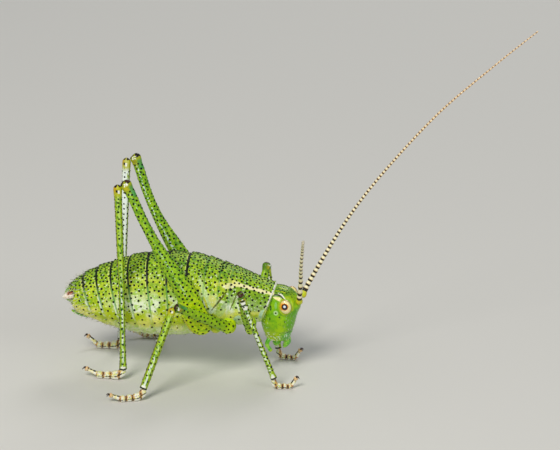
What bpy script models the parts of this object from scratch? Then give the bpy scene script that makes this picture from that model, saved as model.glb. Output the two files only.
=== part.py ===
"""Long-horned grasshopper: a speckled bush-cricket nymph, standing still, life size.

All sizes below are millimetres. +X is the way the animal faces, +Y its left side, +Z up,
and the soles of its feet are at Z = 0. The drawing's own X and Y start under the middle
of the body; the finished model is moved so that its footprint is centred on the origin.
"""
import math

import bmesh
import bpy
from mathutils import Matrix, Vector

MM = 0.001
CUT = 0.05              # width of the thin cut between two neighbouring solids
SIDES = {"right": -1.0, "left": 1.0}
FORWARD = Vector((1.0, 0.0, 0.0))
SIDEWAYS = Vector((0.0, 1.0, 0.0))
UPWARD = Vector((0.0, 0.0, 1.0))

# ---- trunk: X, height of the back, height of the belly, half width --------------------
TRUNK = [
    (-6.97, 4.34, 3.70, 0.34),
    (-6.85, 4.50, 3.46, 0.56),
    (-6.45, 4.92, 3.18, 0.88),
    (-5.80, 5.40, 2.95, 1.28),
    (-4.20, 6.12, 2.40, 1.82),
    (-2.10, 6.72, 2.04, 2.10),
    (0.20, 6.75, 2.12, 2.03),
    (1.25, 6.57, 2.42, 1.82),
    (2.70, 6.06, 2.72, 1.58),
    (4.10, 5.52, 3.00, 1.32),
    (5.10, 5.20, 3.40, 1.12),
]
TRUNK_SIDES = 20
TRUNK_STEPS = 3
TRUNK_POWER = 2.15      # 2 is an ellipse, more is squarer
SEAMS = [
    ("abdomen_tip", -5.02),
    ("abdomen_rear", -2.08),
    ("abdomen_middle", 0.20),
    ("abdomen_front", 1.20),
    ("metathorax", 2.02),
    ("mesothorax", 2.42),
]
NECK_POINT = Vector((4.55, 0.0, 4.20))
NECK_NORMAL = Vector((0.94, 0.0, -0.34))
COXA_PLANE_POINT = Vector((0.0, 0.95, 3.02))
COXA_PLANE_NORMAL = Vector((0.0, 0.55, -0.83))

# ---- head: height, front X, back X, half width ---------------------------------------
HEAD = [
    (1.82, 5.52, 4.46, 0.50),
    (2.04, 5.68, 4.30, 0.66),
    (2.80, 5.93, 4.08, 0.90),
    (3.50, 6.12, 4.00, 0.98),
    (4.10, 6.33, 4.00, 0.97),
    (4.60, 6.04, 4.15, 0.86),
    (4.95, 5.72, 4.35, 0.62),
    (5.12, 5.42, 4.60, 0.34),
]
HEAD_SIDES = 20
HEAD_STEPS = 2
HEAD_POWER = 2.2
EYE_CENTRE = Vector((5.64, 0.88, 4.29))
EYE_RADII = (0.34, 0.27, 0.43)
# The head is drawn upright and facing ahead, then turned on its neck: degrees about Z and X.
HEAD_PIVOT = Vector((4.60, 0.0, 4.20))
HEAD_TURN = -5.0
HEAD_TILT = 7.0

# ---- small parts of the head and the tail: X, Y, Z, width, height --------------------
LABRUM = [(5.44, 0.0, 2.00, 0.74, 0.46), (5.50, 0.0, 1.74, 0.76, 0.48), (5.36, 0.0, 1.50, 0.64, 0.34),
          (5.24, 0.0, 1.41, 0.44, 0.18)]
JAWS = [(4.92, 0.0, 1.85, 0.82, 0.60), (4.92, 0.0, 1.64, 0.76, 0.56), (4.95, 0.0, 1.45, 0.50, 0.36)]
PALP = [(4.42, 0.67, 1.90, 0.44, 0.44), (4.50, 0.71, 1.70, 0.46, 0.46), (4.74, 0.73, 1.40, 0.42, 0.42)]
CERCUS = [(-5.95, 0.54, 4.38, 0.46, 0.46), (-6.40, 0.80, 4.33, 0.46, 0.46), (-6.72, 0.84, 4.25, 0.37, 0.37),
          (-7.00, 0.74, 4.16, 0.14, 0.14)]
PLATE = [(-5.55, 0.0, 2.86, 0.90, 0.24), (-6.10, 0.0, 2.98, 0.80, 0.26), (-6.62, 0.0, 3.14, 0.34, 0.12)]

# ---- antennae: routes from the socket, and the lengths that each is divided into ------
FEELER_WIDTH = 0.56     # over the corners, about 0.5 between the flats
FEELER_RIGHT = [
    (6.26, -0.54, 4.28),
    (6.46, -1.50, 5.79),
    (6.63, -2.80, 7.08),
    (7.10, -6.00, 9.55),
    (7.97, -13.50, 12.06),
    (8.41, -17.30, 13.32),
]
FEELER_LEFT = [
    (6.32, 0.28, 4.34),
    (6.78, 0.60, 5.32),
    (8.63, 1.16, 8.53),
    (10.62, 1.60, 11.27),
    (13.57, 2.26, 14.59),
    (16.49, 2.92, 17.17),
    (18.91, 3.58, 19.12),
]
FEELER_LENGTHS = 4
SOCKET_WAY = Vector((0.95, 0.0, 0.30))      # the way the flat under each antenna faces
FEELER_SIDES = 6

# ---- legs -----------------------------------------------------------------------------
# Limb profiles: part of the length from its upper joint, width across, height in the leg's
# plane, and sag, how far the centre lies off the line of the joints, to the rear and down.
HIND_FEMUR = [
    (0.0, 0.54, 0.66, 0.28),
    (0.05, 0.64, 1.30, 0.36),
    (0.10, 0.70, 1.40, 0.37),
    (0.18, 0.74, 1.40, 0.27),
    (0.26, 0.74, 1.22, 0.12),
    (0.36, 0.70, 1.04, 0.10),
    (0.46, 0.64, 0.90, 0.13),
    (0.57, 0.56, 0.68, 0.16),
    (0.68, 0.52, 0.56, 0.16),
    (0.80, 0.50, 0.55, 0.11),
    (0.92, 0.50, 0.58, 0.01),
    (1.0, 0.52, 0.64, -0.02),
]
SHORT_FEMUR = [(0.0, 0.44, 0.52, 0.0), (0.25, 0.50, 0.58, 0.0), (0.60, 0.50, 0.56, 0.0),
               (1.0, 0.50, 0.54, 0.0)]
MID_FEMUR = [(0.0, 0.78, 0.82, 0.0), (0.10, 0.66, 0.72, 0.0), (0.30, 0.56, 0.62, 0.0),
             (0.60, 0.50, 0.56, 0.0), (1.0, 0.50, 0.54, 0.0)]
TIBIA = [(0.0, 0.50, 0.50, 0.0), (0.50, 0.50, 0.50, 0.0), (1.0, 0.50, 0.50, 0.0)]
COXA = [(0.0, 0.62, 0.90, 0.0), (0.45, 0.66, 0.92, 0.0), (1.0, 0.48, 0.50, 0.0)]
MID_COXA = [(0.0, 0.66, 0.90, 0.0), (0.50, 0.82, 0.94, 0.0), (1.0, 0.84, 0.90, 0.0)]
HIND_SWELL = 0.58       # how far the hind femur bends outward, round the flank
LIMB_SIDES = 10

# Foot profile: distance from the ankle, underside, top, width. The pads are the stretches at 0.
FOOT = [
    (-0.22, 0.30, 0.80, 0.46),
    (0.20, 0.10, 0.72, 0.50),
    (0.36, 0.00, 0.64, 0.52),
    (0.66, 0.00, 0.58, 0.52),
    (0.76, 0.12, 0.56, 0.46),
    (0.86, 0.00, 0.54, 0.52),
    (1.12, 0.00, 0.52, 0.52),
    (1.22, 0.12, 0.50, 0.46),
    (1.32, 0.00, 0.50, 0.54),
    (1.58, 0.00, 0.50, 0.54),
    (1.70, 0.10, 0.50, 0.40),
]
FOOT_SIDES = 10
FOOT_POWER = 2.6
SOLE_DEPTH = 0.2        # the part of a pad's height that is pressed flat
FOOT_LEAST = 0.46       # no foot is narrower, or its top lower, than this
TOE_WIDTH = 0.46
ANKLE_DROP = 0.8        # how steeply the cut through the ankle leans
CLAW_WIDTH = 0.20
CLAW_SPREAD = 0.12
CLAW_LENGTH = 0.22
CLAW_TAPER = 0.65
CLAW_CURVE = [(0.0, 0.0), (0.5, 0.03), (1.0, -0.12)]    # part of its length, height

# Joints of each leg on its own side, with Y outward. heading is the way the foot points, foot
# its size, toe the length of its last joint and rise how far that climbs; bow and arch bend the
# tibia and the femur.
LEGS = {
    "hind_right": dict(root=(1.80, 0.72, 2.98), hip=(1.62, 1.66, 3.00), knee=(-2.94, 3.00, 11.60),
                       shin=(-3.35, 3.00, 11.33), ankle=(-3.32, 2.35, 0.72), heading=187.0,
                       foot=0.92, toe=0.62, rise=0.24, bow=-0.05, arch=0.0),
    "hind_left": dict(root=(1.80, 0.72, 2.98), hip=(1.25, 1.70, 2.95), knee=(-3.40, 3.00, 11.30),
                      shin=(-3.87, 3.00, 11.03), ankle=(-4.24, 2.50, 0.70), heading=176.0,
                      foot=0.88, toe=0.50, rise=0.46, bow=0.02, arch=0.45),
    "mid_right": dict(root=(2.40, 0.75, 3.10), hip=(2.50, 1.60, 3.05), knee=(0.02, 4.20, 5.02),
                      shin=(-0.24, 4.20, 4.86), ankle=(-1.70, 5.30, 0.70), heading=163.0,
                      foot=0.80, toe=0.52, rise=0.20, bow=-0.03, arch=0.0),
    "mid_left": dict(root=(2.40, 0.75, 3.10), hip=(2.50, 1.60, 3.05), knee=(-0.20, 4.00, 4.60),
                     shin=(-0.46, 4.00, 4.44), ankle=(-2.05, 4.62, 0.70), heading=182.0,
                     foot=0.80, toe=0.50, rise=0.20, bow=-0.03, arch=0.0),
    "front_right": dict(root=(3.62, 0.70, 3.25), hip=(3.62, 1.42, 2.86), knee=(3.42, 3.60, 5.68),
                        shin=None, ankle=(5.12, 2.76, 0.68), heading=-15.0,
                        foot=0.62, toe=0.22, rise=0.44, bow=0.05, arch=0.0),
    "front_left": dict(root=(3.62, 0.70, 3.25), hip=(3.62, 1.42, 2.86), knee=(4.06, 2.80, 5.30),
                       shin=None, ankle=(4.80, 2.00, 0.68), heading=0.0,
                       foot=0.62, toe=0.22, rise=0.46, bow=0.02, arch=0.0),
}

GREEN = (0.30, 0.52, 0.04)
PALE_GREEN = (0.52, 0.66, 0.24)
CREAM = (0.80, 0.72, 0.42)
ROSE = (0.80, 0.56, 0.45)
BROWN = (0.22, 0.10, 0.04)


def clear_scene():
    for item in list(bpy.data.objects):
        bpy.data.objects.remove(item, do_unlink=True)


def material(name, colour, roughness=0.45):
    mat = bpy.data.materials.new(name)
    mat.use_nodes = True
    shader = mat.node_tree.nodes["Principled BSDF"]
    shader.inputs["Base Color"].default_value = (*colour, 1.0)
    shader.inputs["Roughness"].default_value = roughness
    shader.inputs["Metallic"].default_value = 0.0
    mat.diffuse_color = (*colour, 1.0)
    return mat


def make_node(name, bm, colour, roughness=0.45):
    """Turn a finished bmesh in millimetres into the node's object in metres."""
    bmesh.ops.remove_doubles(bm, verts=bm.verts, dist=0.002)
    bmesh.ops.dissolve_degenerate(bm, edges=bm.edges, dist=0.002)
    bmesh.ops.recalc_face_normals(bm, faces=bm.faces)
    bmesh.ops.scale(bm, vec=Vector((MM, MM, MM)), verts=bm.verts)
    mesh = bpy.data.meshes.new(name)
    bm.to_mesh(mesh)
    bm.free()
    mesh.shade_smooth()
    mesh.set_sharp_from_angle(angle=math.radians(40.0))
    node = bpy.data.objects.new(name, mesh)
    bpy.context.scene.collection.objects.link(node)
    mesh.materials.append(material(name, colour, roughness))
    return node


# ---- shapes ---------------------------------------------------------------------------
def blend(before, start, end, after, t):
    """One value on a Catmull-Rom curve between start and end."""
    return 0.5 * (2.0 * start + (end - before) * t
                  + (2.0 * before - 5.0 * start + 4.0 * end - after) * t ** 2
                  + (3.0 * start - before - 3.0 * end + after) * t ** 3)


def smooth(stations, steps):
    """Rows of values on a smooth curve through the stations."""
    rows = [stations[0], *stations, stations[-1]]
    result = []
    for i in range(1, len(rows) - 2):
        for step in range(steps):
            t = step / steps
            result.append(tuple(blend(*values, t) for values in zip(*rows[i - 1:i + 3])))
    result.append(tuple(stations[-1]))
    return result


def oval(centre, across, upward, width, height, sides, power=2.0):
    """Points of a closed oval, spread evenly by angle, starting half a step from the side."""
    points = []
    for i in range(sides):
        angle = 2.0 * math.pi * (i + 0.5) / sides
        c, s = math.cos(angle), math.sin(angle)
        x = math.copysign(abs(c) ** (2.0 / power), c) * width / 2.0
        y = math.copysign(abs(s) ** (2.0 / power), s) * height / 2.0
        points.append(Vector(centre) + across * x + upward * y)
    return points


def loft(rings):
    """A closed body through rings of equal point count, closed by a flat face at each end."""
    bm = bmesh.new()
    face = bm.faces.new([bm.verts.new(point) for point in rings[0]])
    for ring in rings[1:]:
        face = bmesh.ops.extrude_discrete_faces(bm, faces=[face])["faces"][0]
        for vert, point in zip(face.verts, ring):
            vert.co = point
    bmesh.ops.holes_fill(bm, edges=[edge for edge in bm.edges if edge.is_boundary], sides=0)
    bmesh.ops.recalc_face_normals(bm, faces=bm.faces)
    return bm


def trim(bm, point, normal):
    """Cut a body with a plane and keep the side that the normal points away from."""
    normal = Vector(normal).normalized()
    geom = bm.verts[:] + bm.edges[:] + bm.faces[:]
    bmesh.ops.bisect_plane(bm, geom=geom, dist=1e-5, plane_co=Vector(point) - normal * (CUT / 2.0),
                           plane_no=normal, clear_outer=True)
    bmesh.ops.holes_fill(bm, edges=[edge for edge in bm.edges if edge.is_boundary], sides=0)
    return bm


def swept(stations, across, sides, steps=3, dome_start=False, dome_end=False):
    """A limb along stations of X, Y, Z, width, height; across is the way its width runs."""
    rows = smooth(stations, steps)
    centres = [Vector(row[:3]) for row in rows]
    rings = []
    for i, row in enumerate(rows):
        tangent = (centres[min(i + 1, len(rows) - 1)] - centres[max(i - 1, 0)]).normalized()
        side = (across - tangent * across.dot(tangent)).normalized()
        upward = tangent.cross(side)
        rings.append((centres[i], tangent, side, upward, row[3], row[4]))
    loops = []
    if dome_start:
        loops += [dome_ring(rings[0], -1.0, turn, sides) for turn in (75.0, 40.0)]
    loops += [oval(c, side, up, w, h, sides) for c, _, side, up, w, h in rings]
    if dome_end:
        loops += [dome_ring(rings[-1], 1.0, turn, sides) for turn in (40.0, 75.0)]
    return loft(loops)


def dome_ring(ring, direction, turn, sides):
    """A ring of the round end that closes a limb, turn degrees round from its last section."""
    centre, tangent, side, upward, width, height = ring
    shift = math.sin(math.radians(turn)) * min(width, height) / 2.0
    shrink = math.cos(math.radians(turn))
    return oval(centre + tangent * (direction * shift), side, upward, width * shrink, height * shrink, sides)


def mirrored(point, side):
    return Vector((point[0], point[1] * side, point[2]))


def head_pose():
    """Turns what is drawn upright on the head into the way the animal holds it."""
    turn = Matrix.Rotation(math.radians(HEAD_TURN), 4, "Z") @ Matrix.Rotation(math.radians(HEAD_TILT), 4, "X")
    return Matrix.Translation(HEAD_PIVOT) @ turn @ Matrix.Translation(-HEAD_PIVOT)


def posed(bm):
    bmesh.ops.transform(bm, matrix=head_pose(), verts=bm.verts)
    return bm


def mitre(joint, one_end, other_end):
    """Normal of the plane that parts two limbs at their joint, towards the second limb."""
    first = (one_end - joint).normalized()
    second = (other_end - joint).normalized()
    return (second - first).normalized()


# ---- trunk and head -------------------------------------------------------------------
def trunk_rings():
    rings = []
    for x, top, bottom, half_width in smooth(TRUNK, TRUNK_STEPS):
        centre = (x, 0.0, (top + bottom) / 2.0)
        rings.append(oval(centre, SIDEWAYS, UPWARD, 2.0 * half_width,
                          top - bottom, TRUNK_SIDES, TRUNK_POWER))
    return rings


def make_trunk():
    """The trunk is one body, parted at the seams between its plates."""
    rings = trunk_rings()
    starts = [None] + [x for _, x in SEAMS]
    ends = [x for _, x in SEAMS] + [None]
    names = [name for name, _ in SEAMS] + ["pronotum"]
    for name, start, end in zip(names, starts, ends):
        bm = loft(rings)
        if start is not None:
            trim(bm, (start, 0, 0), (-1, 0, 0))
        if end is not None:
            trim(bm, (end, 0, 0), (1, 0, 0))
        else:
            trim(bm, NECK_POINT, NECK_NORMAL)
        if name in ("pronotum", "mesothorax", "metathorax"):
            for side in SIDES.values():
                trim(bm, mirrored(COXA_PLANE_POINT, side), mirrored(COXA_PLANE_NORMAL, side))
        if name == "abdomen_tip":
            trim(bm, plate_root(), plate_normal())
        plates = make_node(name, bm, GREEN)
        if name == "abdomen_tip":
            for side in SIDES.values():
                cut_socket(plates, cercus_body(side, CUT), "cercus_cutter")


def cercus_body(side, growth=0.0):
    """One cercus with its root inside the abdomen, or the socket that leaves growth around it."""
    rows = [(*mirrored(row[:3], side), row[3] + 2.0 * growth, row[4] + 2.0 * growth) for row in CERCUS]
    root, first = Vector(rows[0][:3]), Vector(rows[1][:3])
    rows[0] = (*(root + (root - first).normalized() * growth), *rows[0][3:])
    return swept(rows, SIDEWAYS, 8, steps=2)


def eye_ball(side, growth=0.0):
    bm = bmesh.new()
    bmesh.ops.create_uvsphere(bm, u_segments=14, v_segments=9, radius=1.0)
    radii = Vector(EYE_RADII) + Vector((growth, growth, growth))
    bmesh.ops.scale(bm, vec=radii, verts=bm.verts)
    bmesh.ops.translate(bm, vec=mirrored(EYE_CENTRE, side), verts=bm.verts)
    return posed(bm)


def make_head():
    rings = []
    for z, front, back, half_width in smooth(HEAD, HEAD_STEPS):
        centre = ((front + back) / 2.0, 0.0, z)
        rings.append(oval(centre, SIDEWAYS, FORWARD, 2.0 * half_width,
                          front - back, HEAD_SIDES, HEAD_POWER))
    bm = posed(loft(rings))
    trim(bm, NECK_POINT, -NECK_NORMAL)
    for name in SIDES:
        trim(bm, feeler_route(name)[0], SOCKET_WAY)
    head = make_node("head", bm, GREEN)
    for name, side in SIDES.items():
        cut_socket(head, eye_ball(side, CUT), "eye_cutter")
        make_node("eye_" + name, eye_ball(side), CREAM, 0.15)


def cut_socket(node, bm, name):
    """Hollow a node round a piece that sits in it, with a thin gap between the two."""
    cutter = make_node(name, bm, CREAM)
    cutter.hide_render = True
    cutter.display_type = "WIRE"
    modifier = node.modifiers.new("socket", "BOOLEAN")
    modifier.operation = "DIFFERENCE"
    modifier.solver = "EXACT"
    modifier.object = cutter


def make_small_parts():
    """Lip, jaws and palps under the head; cerci and lower plate at the tail."""
    floor_of_head = (0.0, 0.0, HEAD[0][0])
    for name, stations, inward in (("labrum", LABRUM, -FORWARD), ("jaws", JAWS, FORWARD)):
        bm = swept(stations, SIDEWAYS, 10, steps=2)
        trim(bm, floor_of_head, UPWARD)
        trim(bm, lip_line(), inward)
        make_node(name, posed(bm), PALE_GREEN)
    for name, side in SIDES.items():
        palp = [(*mirrored(row[:3], side), *row[3:]) for row in PALP]
        bm = swept(palp, SIDEWAYS, 8, steps=2, dome_end=True)
        trim(bm, floor_of_head, UPWARD)
        make_node("palp_" + name, posed(bm), PALE_GREEN)
        make_node("cercus_" + name, cercus_body(side), ROSE)
    bm = swept(PLATE, SIDEWAYS, 10, steps=2)
    trim(bm, plate_root(), -plate_normal())
    make_node("subgenital_plate", bm, PALE_GREEN)


def lip_line():
    """A point halfway between the back of the lip and the front of the jaws."""
    lip_back = LABRUM[0][0] - LABRUM[0][4] / 2.0
    jaws_front = JAWS[0][0] + JAWS[0][4] / 2.0
    return FORWARD * ((lip_back + jaws_front) / 2.0)


def plate_root():
    """The upper edge of the lower plate's first section, where the abdomen ends on it."""
    x, _, z, _, height = PLATE[0]
    return Vector((x, 0.0, z + height / 2.0))


def plate_normal():
    run = Vector(PLATE[-1][:3]) - Vector(PLATE[0][:3])
    return Vector((-run.z, 0.0, run.x)).normalized()


# ---- antennae -------------------------------------------------------------------------
def feeler_route(name):
    stations = FEELER_RIGHT if name == "right" else FEELER_LEFT
    return [Vector(row) for row in smooth(stations, 4)]


def make_feelers():
    """Each antenna is one route, parted into a few lengths by thin cuts across it."""
    for name in SIDES:
        route = feeler_route(name)
        stations = [(*point, FEELER_WIDTH, FEELER_WIDTH) for point in route]
        share = (len(route) - 1) / FEELER_LENGTHS
        cuts = [round(share * i) for i in range(FEELER_LENGTHS + 1)]
        for number, (first, last) in enumerate(zip(cuts, cuts[1:]), start=1):
            bm = swept(stations[max(first - 1, 0):last + 2], FORWARD, FEELER_SIDES, steps=1)
            trim(bm, route[first], route[first - 1] - route[first + 1] if first else -SOCKET_WAY)
            if last + 1 < len(route):
                trim(bm, route[last], route[last + 1] - route[last - 1])
            make_node("antenna_%s_%d" % (name, number), bm, CREAM)


# ---- legs -----------------------------------------------------------------------------
def limb_stations(start, end, profile, bow=0.0, bow_way=Vector(), swell=0.0):
    """Stations of a limb between two joints, bent by bow in its plane and by swell outward."""
    outward = SIDEWAYS * math.copysign(1.0, end.y)
    rows = []
    for part, width, height, sag in profile:
        centre = start.lerp(end, part) + bow_way * (bow * math.sin(math.pi * part) + sag)
        centre += outward * (swell * math.sin(math.pi * part ** 0.6))
        rows.append((*centre, width, height))
    return rows


def foot_body(ankle, sizes, side):
    """The foot's rings from its ankle to the end of its last joint, with flat soles at Z = 0."""
    heading = math.radians(sizes["heading"]) * side
    along = Vector((math.cos(heading), math.sin(heading), 0.0))
    across = Vector((-along.y, along.x, 0.0))
    scale = sizes["foot"]
    rows = [(distance * scale, low * scale, max(high * scale, FOOT_LEAST + low * scale),
             max(width * scale ** 0.5, FOOT_LEAST)) for distance, low, high, width in FOOT]
    tip, low, _, _ = rows[-1]
    for part in (0.25, 1.0):
        floor = low + sizes["rise"] * part
        rows.append((tip + sizes["toe"] * part, floor, floor + TOE_WIDTH, TOE_WIDTH))
    rings = []
    for distance, low, high, width in rows:
        centre = Vector((ankle.x, ankle.y, (low + high) / 2.0)) + along * distance
        ring = oval(centre, across, UPWARD, width, high - low, FOOT_SIDES, FOOT_POWER)
        for point in ring:
            if low == 0.0 and point.z < high * SOLE_DEPTH:
                point.z = 0.0
        rings.append(ring)
    return rings, along, across


def make_claws(name, end_ring, along, across):
    """Two curved claws that spread from one root at the end of the foot."""
    root = sum(end_ring, Vector()) / len(end_ring)
    horns = []
    for side in SIDES.values():
        stations = []
        for part, climb in CLAW_CURVE:
            centre = root + along * (CLAW_LENGTH * part - CUT) + across * (side * CLAW_SPREAD * part)
            width = CLAW_WIDTH * (1.0 - CLAW_TAPER * part)
            stations.append((*(centre + UPWARD * climb), width, width))
        horns.append(swept(stations, across, 6, steps=1))
    first = make_node(name, trim(horns[0], root, -along), BROWN)
    second = make_node(name + "_cutter", trim(horns[1], root, -along), BROWN)
    second.hide_render = True
    second.display_type = "WIRE"
    modifier = first.modifiers.new("pair", "BOOLEAN")
    modifier.operation = "UNION"
    modifier.solver = "EXACT"
    modifier.object = second


def make_leg(name, sizes):
    pair, side_name = name.split("_")
    side = SIDES[side_name]
    hind = pair == "hind"
    root, hip, knee, ankle = (mirrored(sizes[key], side) for key in ("root", "hip", "knee", "ankle"))
    shin = mirrored(sizes["shin"], side) if sizes["shin"] else knee
    plane_of_leg = (knee - hip).cross(ankle - shin).normalized()
    back = plane_of_leg.cross((knee - hip).normalized())
    bow_way = back if back.x < 0 else -back
    knee_cut = (knee + shin) / 2.0
    knee_way = mitre(knee_cut, hip, ankle)
    rings, along, across = foot_body(ankle, sizes, side)
    ankle_way = mitre(ankle, shin, ankle + along - UPWARD * ANKLE_DROP)

    profile = MID_COXA if pair == "mid" else COXA
    bm = swept(limb_stations(root, hip, profile), FORWARD, LIMB_SIDES, steps=2, dome_end=True)
    trim(bm, mirrored(COXA_PLANE_POINT, side), -mirrored(COXA_PLANE_NORMAL, side))
    trim(bm, hip, mitre(hip, root, knee))
    if hind:
        trim(bm, (SEAMS[3][1] + CUT, 0, 0), -FORWARD)
    make_node(name + "_coxa", bm, GREEN)

    profile = {"hind": HIND_FEMUR, "mid": MID_FEMUR, "front": SHORT_FEMUR}[pair]
    stations = limb_stations(hip, knee, profile, sizes["arch"], bow_way, HIND_SWELL if hind else 0.0)
    bm = swept(stations, plane_of_leg, LIMB_SIDES, steps=2, dome_start=True, dome_end=True)
    trim(bm, hip, -mitre(hip, root, knee))
    trim(bm, knee_cut, knee_way)
    make_node(name + "_femur", bm, GREEN)

    stations = limb_stations(shin, ankle, TIBIA, sizes["bow"], bow_way)
    bm = swept(stations, plane_of_leg, LIMB_SIDES, steps=3, dome_start=True)
    trim(bm, knee_cut, -knee_way)
    trim(bm, ankle, ankle_way)
    make_node(name + "_tibia", bm, PALE_GREEN)

    bm = loft(rings)
    trim(bm, ankle, -ankle_way)
    end = sum(rings[-1], Vector()) / len(rings[-1])
    trim(bm, end, along)
    make_node(name + "_tarsus", bm, CREAM)
    make_claws(name + "_claws", rings[-1], along, across)


def centre_footprint():
    """Move everything so that the middle of the whole footprint is over the origin."""
    solids = [item for item in bpy.data.objects if item.type == "MESH" and not item.hide_render]
    points = [vert.co for item in solids for vert in item.data.vertices]
    lows = [min(point[axis] for point in points) for axis in range(2)]
    highs = [max(point[axis] for point in points) for axis in range(2)]
    shift = Vector((-(lows[0] + highs[0]) / 2.0, -(lows[1] + highs[1]) / 2.0, 0.0))
    for item in bpy.data.objects:
        item.location = shift


def main():
    clear_scene()
    make_trunk()
    make_head()
    make_small_parts()
    make_feelers()
    for name, sizes in LEGS.items():
        make_leg(name, sizes)
    centre_footprint()


main()
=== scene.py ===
"""Looks of the long-horned grasshopper: skins, specks, hairs, eyes, antennae and feet.

Shapes are drawn in millimetres in the drawing frame of the body: +X is the way the animal faces,
+Y its left side, +Z up. TO_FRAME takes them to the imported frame, in metres.
"""
import functools
import math
import random

import bmesh
import bpy
import numpy as np
from mathutils import Matrix, Vector


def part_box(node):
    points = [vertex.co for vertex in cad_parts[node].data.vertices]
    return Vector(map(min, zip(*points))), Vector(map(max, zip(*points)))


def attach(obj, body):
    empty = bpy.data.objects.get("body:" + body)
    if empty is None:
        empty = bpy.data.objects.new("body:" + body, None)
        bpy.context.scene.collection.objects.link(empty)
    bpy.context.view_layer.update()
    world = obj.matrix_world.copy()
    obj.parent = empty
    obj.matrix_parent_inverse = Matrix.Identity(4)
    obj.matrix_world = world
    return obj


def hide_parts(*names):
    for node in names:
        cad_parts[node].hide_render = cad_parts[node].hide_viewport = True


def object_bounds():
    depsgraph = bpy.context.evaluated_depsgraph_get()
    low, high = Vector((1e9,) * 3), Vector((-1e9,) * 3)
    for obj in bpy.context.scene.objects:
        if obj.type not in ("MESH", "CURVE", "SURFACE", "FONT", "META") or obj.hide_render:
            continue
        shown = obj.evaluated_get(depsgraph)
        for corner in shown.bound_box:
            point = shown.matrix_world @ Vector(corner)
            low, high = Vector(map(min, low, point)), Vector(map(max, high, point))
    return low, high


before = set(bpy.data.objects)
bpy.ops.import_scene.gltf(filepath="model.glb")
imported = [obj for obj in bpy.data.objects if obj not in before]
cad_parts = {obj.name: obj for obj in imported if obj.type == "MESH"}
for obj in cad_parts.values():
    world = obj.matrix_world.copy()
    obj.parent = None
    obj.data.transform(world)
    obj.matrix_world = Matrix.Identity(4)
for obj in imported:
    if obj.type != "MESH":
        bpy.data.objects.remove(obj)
CAD_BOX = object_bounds()

MM = 0.001
SIDES = {"right": -1.0, "left": 1.0}
TAU = 2.0 * math.pi

# ---- the body's own sizes ---------------------------------------------------------------
# trunk: X, height of the back, height of the belly, half width
TRUNK = [
    (-6.85, 4.45, 3.45, 0.45),
    (-6.45, 4.92, 3.18, 0.88),
    (-5.80, 5.40, 2.95, 1.28),
    (-4.20, 6.12, 2.40, 1.82),
    (-2.10, 6.72, 2.04, 2.10),
    (0.20, 6.75, 2.12, 2.03),
    (1.25, 6.57, 2.42, 1.82),
    (2.70, 6.06, 2.72, 1.58),
    (4.10, 5.52, 3.00, 1.32),
    (5.10, 5.20, 3.40, 1.12),
]
TRUNK_POWER = 2.15
TAIL_CAP = 0.20                 # length of the rounded end of the tail
RIMS = (-5.79, -5.02, -4.20, -3.20, -2.08, -0.94, 0.20, 1.20, 2.02, 2.64)
PRONOTUM_FRONT = 4.93
NECK_END = 5.02
NECK_SHARE = 0.86               # how wide the neck is, beside the plate it comes out of
RIM_STEP = 0.085                # how far a plate's rear edge stands above the next plate

# head: height, front X, back X, half width
HEAD = [
    (1.82, 5.52, 4.46, 0.50),
    (2.04, 5.68, 4.30, 0.66),
    (2.80, 5.93, 4.08, 0.90),
    (3.50, 6.12, 4.00, 0.98),
    (4.10, 6.33, 4.00, 0.97),
    (4.60, 6.04, 4.15, 0.86),
    (4.95, 5.72, 4.35, 0.62),
    (5.12, 5.42, 4.60, 0.34),
]
HEAD_POWER = 2.2
EYE_CENTRE = Vector((5.64, 0.88, 4.29))
EYE_RADII = Vector((0.34, 0.27, 0.43))
EYE_MEASURE = (1.0 / EYE_RADII.x, 0.0, 1.0 / EYE_RADII.z)      # 1 from the centre at the eye's edge
EYE_INSET = 0.012
PUPIL = Vector((0.00, 0.25, 0.10))     # centre of the black pupil, from the eye's centre
# the head is drawn upright and facing ahead, then turned and tilted on its neck
HEAD_PIVOT = Vector((4.60, 0.0, 4.20))
HEAD_POSE = (Matrix.Translation(HEAD_PIVOT) @ Matrix.Rotation(math.radians(-5.0), 4, "Z")
             @ Matrix.Rotation(math.radians(7.0), 4, "X") @ Matrix.Translation(-HEAD_PIVOT))
STILL = Matrix.Identity(4)
SIDEWAYS = Vector((0.0, 1.0, 0.0))
UPWARD = Vector((0.0, 0.0, 1.0))
FORWARD = Vector((1.0, 0.0, 0.0))

# small parts: X, Y, Z, width, height
LABRUM = [
    (5.44, 0.0, 2.00, 0.70, 0.42), (5.50, 0.0, 1.74, 0.72, 0.44),
    (5.36, 0.0, 1.50, 0.60, 0.30), (5.24, 0.0, 1.42, 0.40, 0.14),
]
JAWS = [(4.92, 0.0, 2.12, 0.80, 0.58), (4.92, 0.0, 1.64, 0.72, 0.50), (4.97, 0.0, 1.47, 0.44, 0.30)]
PALP = [
    (4.74, 0.34, 2.16, 0.22, 0.22), (4.54, 0.56, 1.98, 0.24, 0.24), (4.49, 0.66, 1.78, 0.24, 0.24),
    (4.58, 0.69, 1.60, 0.20, 0.20), (4.73, 0.71, 1.38, 0.26, 0.26),
]
CERCUS = [
    (-5.97, 0.54, 4.38, 0.42, 0.42), (-6.40, 0.80, 4.33, 0.42, 0.42),
    (-6.72, 0.84, 4.25, 0.32, 0.32), (-6.96, 0.74, 4.17, 0.08, 0.08),
]
TAIL_LOBE = [(-6.35, 0.0, 4.18, 1.60, 1.22), (-6.70, 0.0, 4.06, 1.12, 0.86), (-6.95, 0.0, 4.00, 0.62, 0.46)]
PLATE = [(-5.50, 0.0, 2.90, 0.84, 0.22), (-6.10, 0.0, 3.00, 0.74, 0.22), (-6.60, 0.0, 3.15, 0.30, 0.08)]

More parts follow.
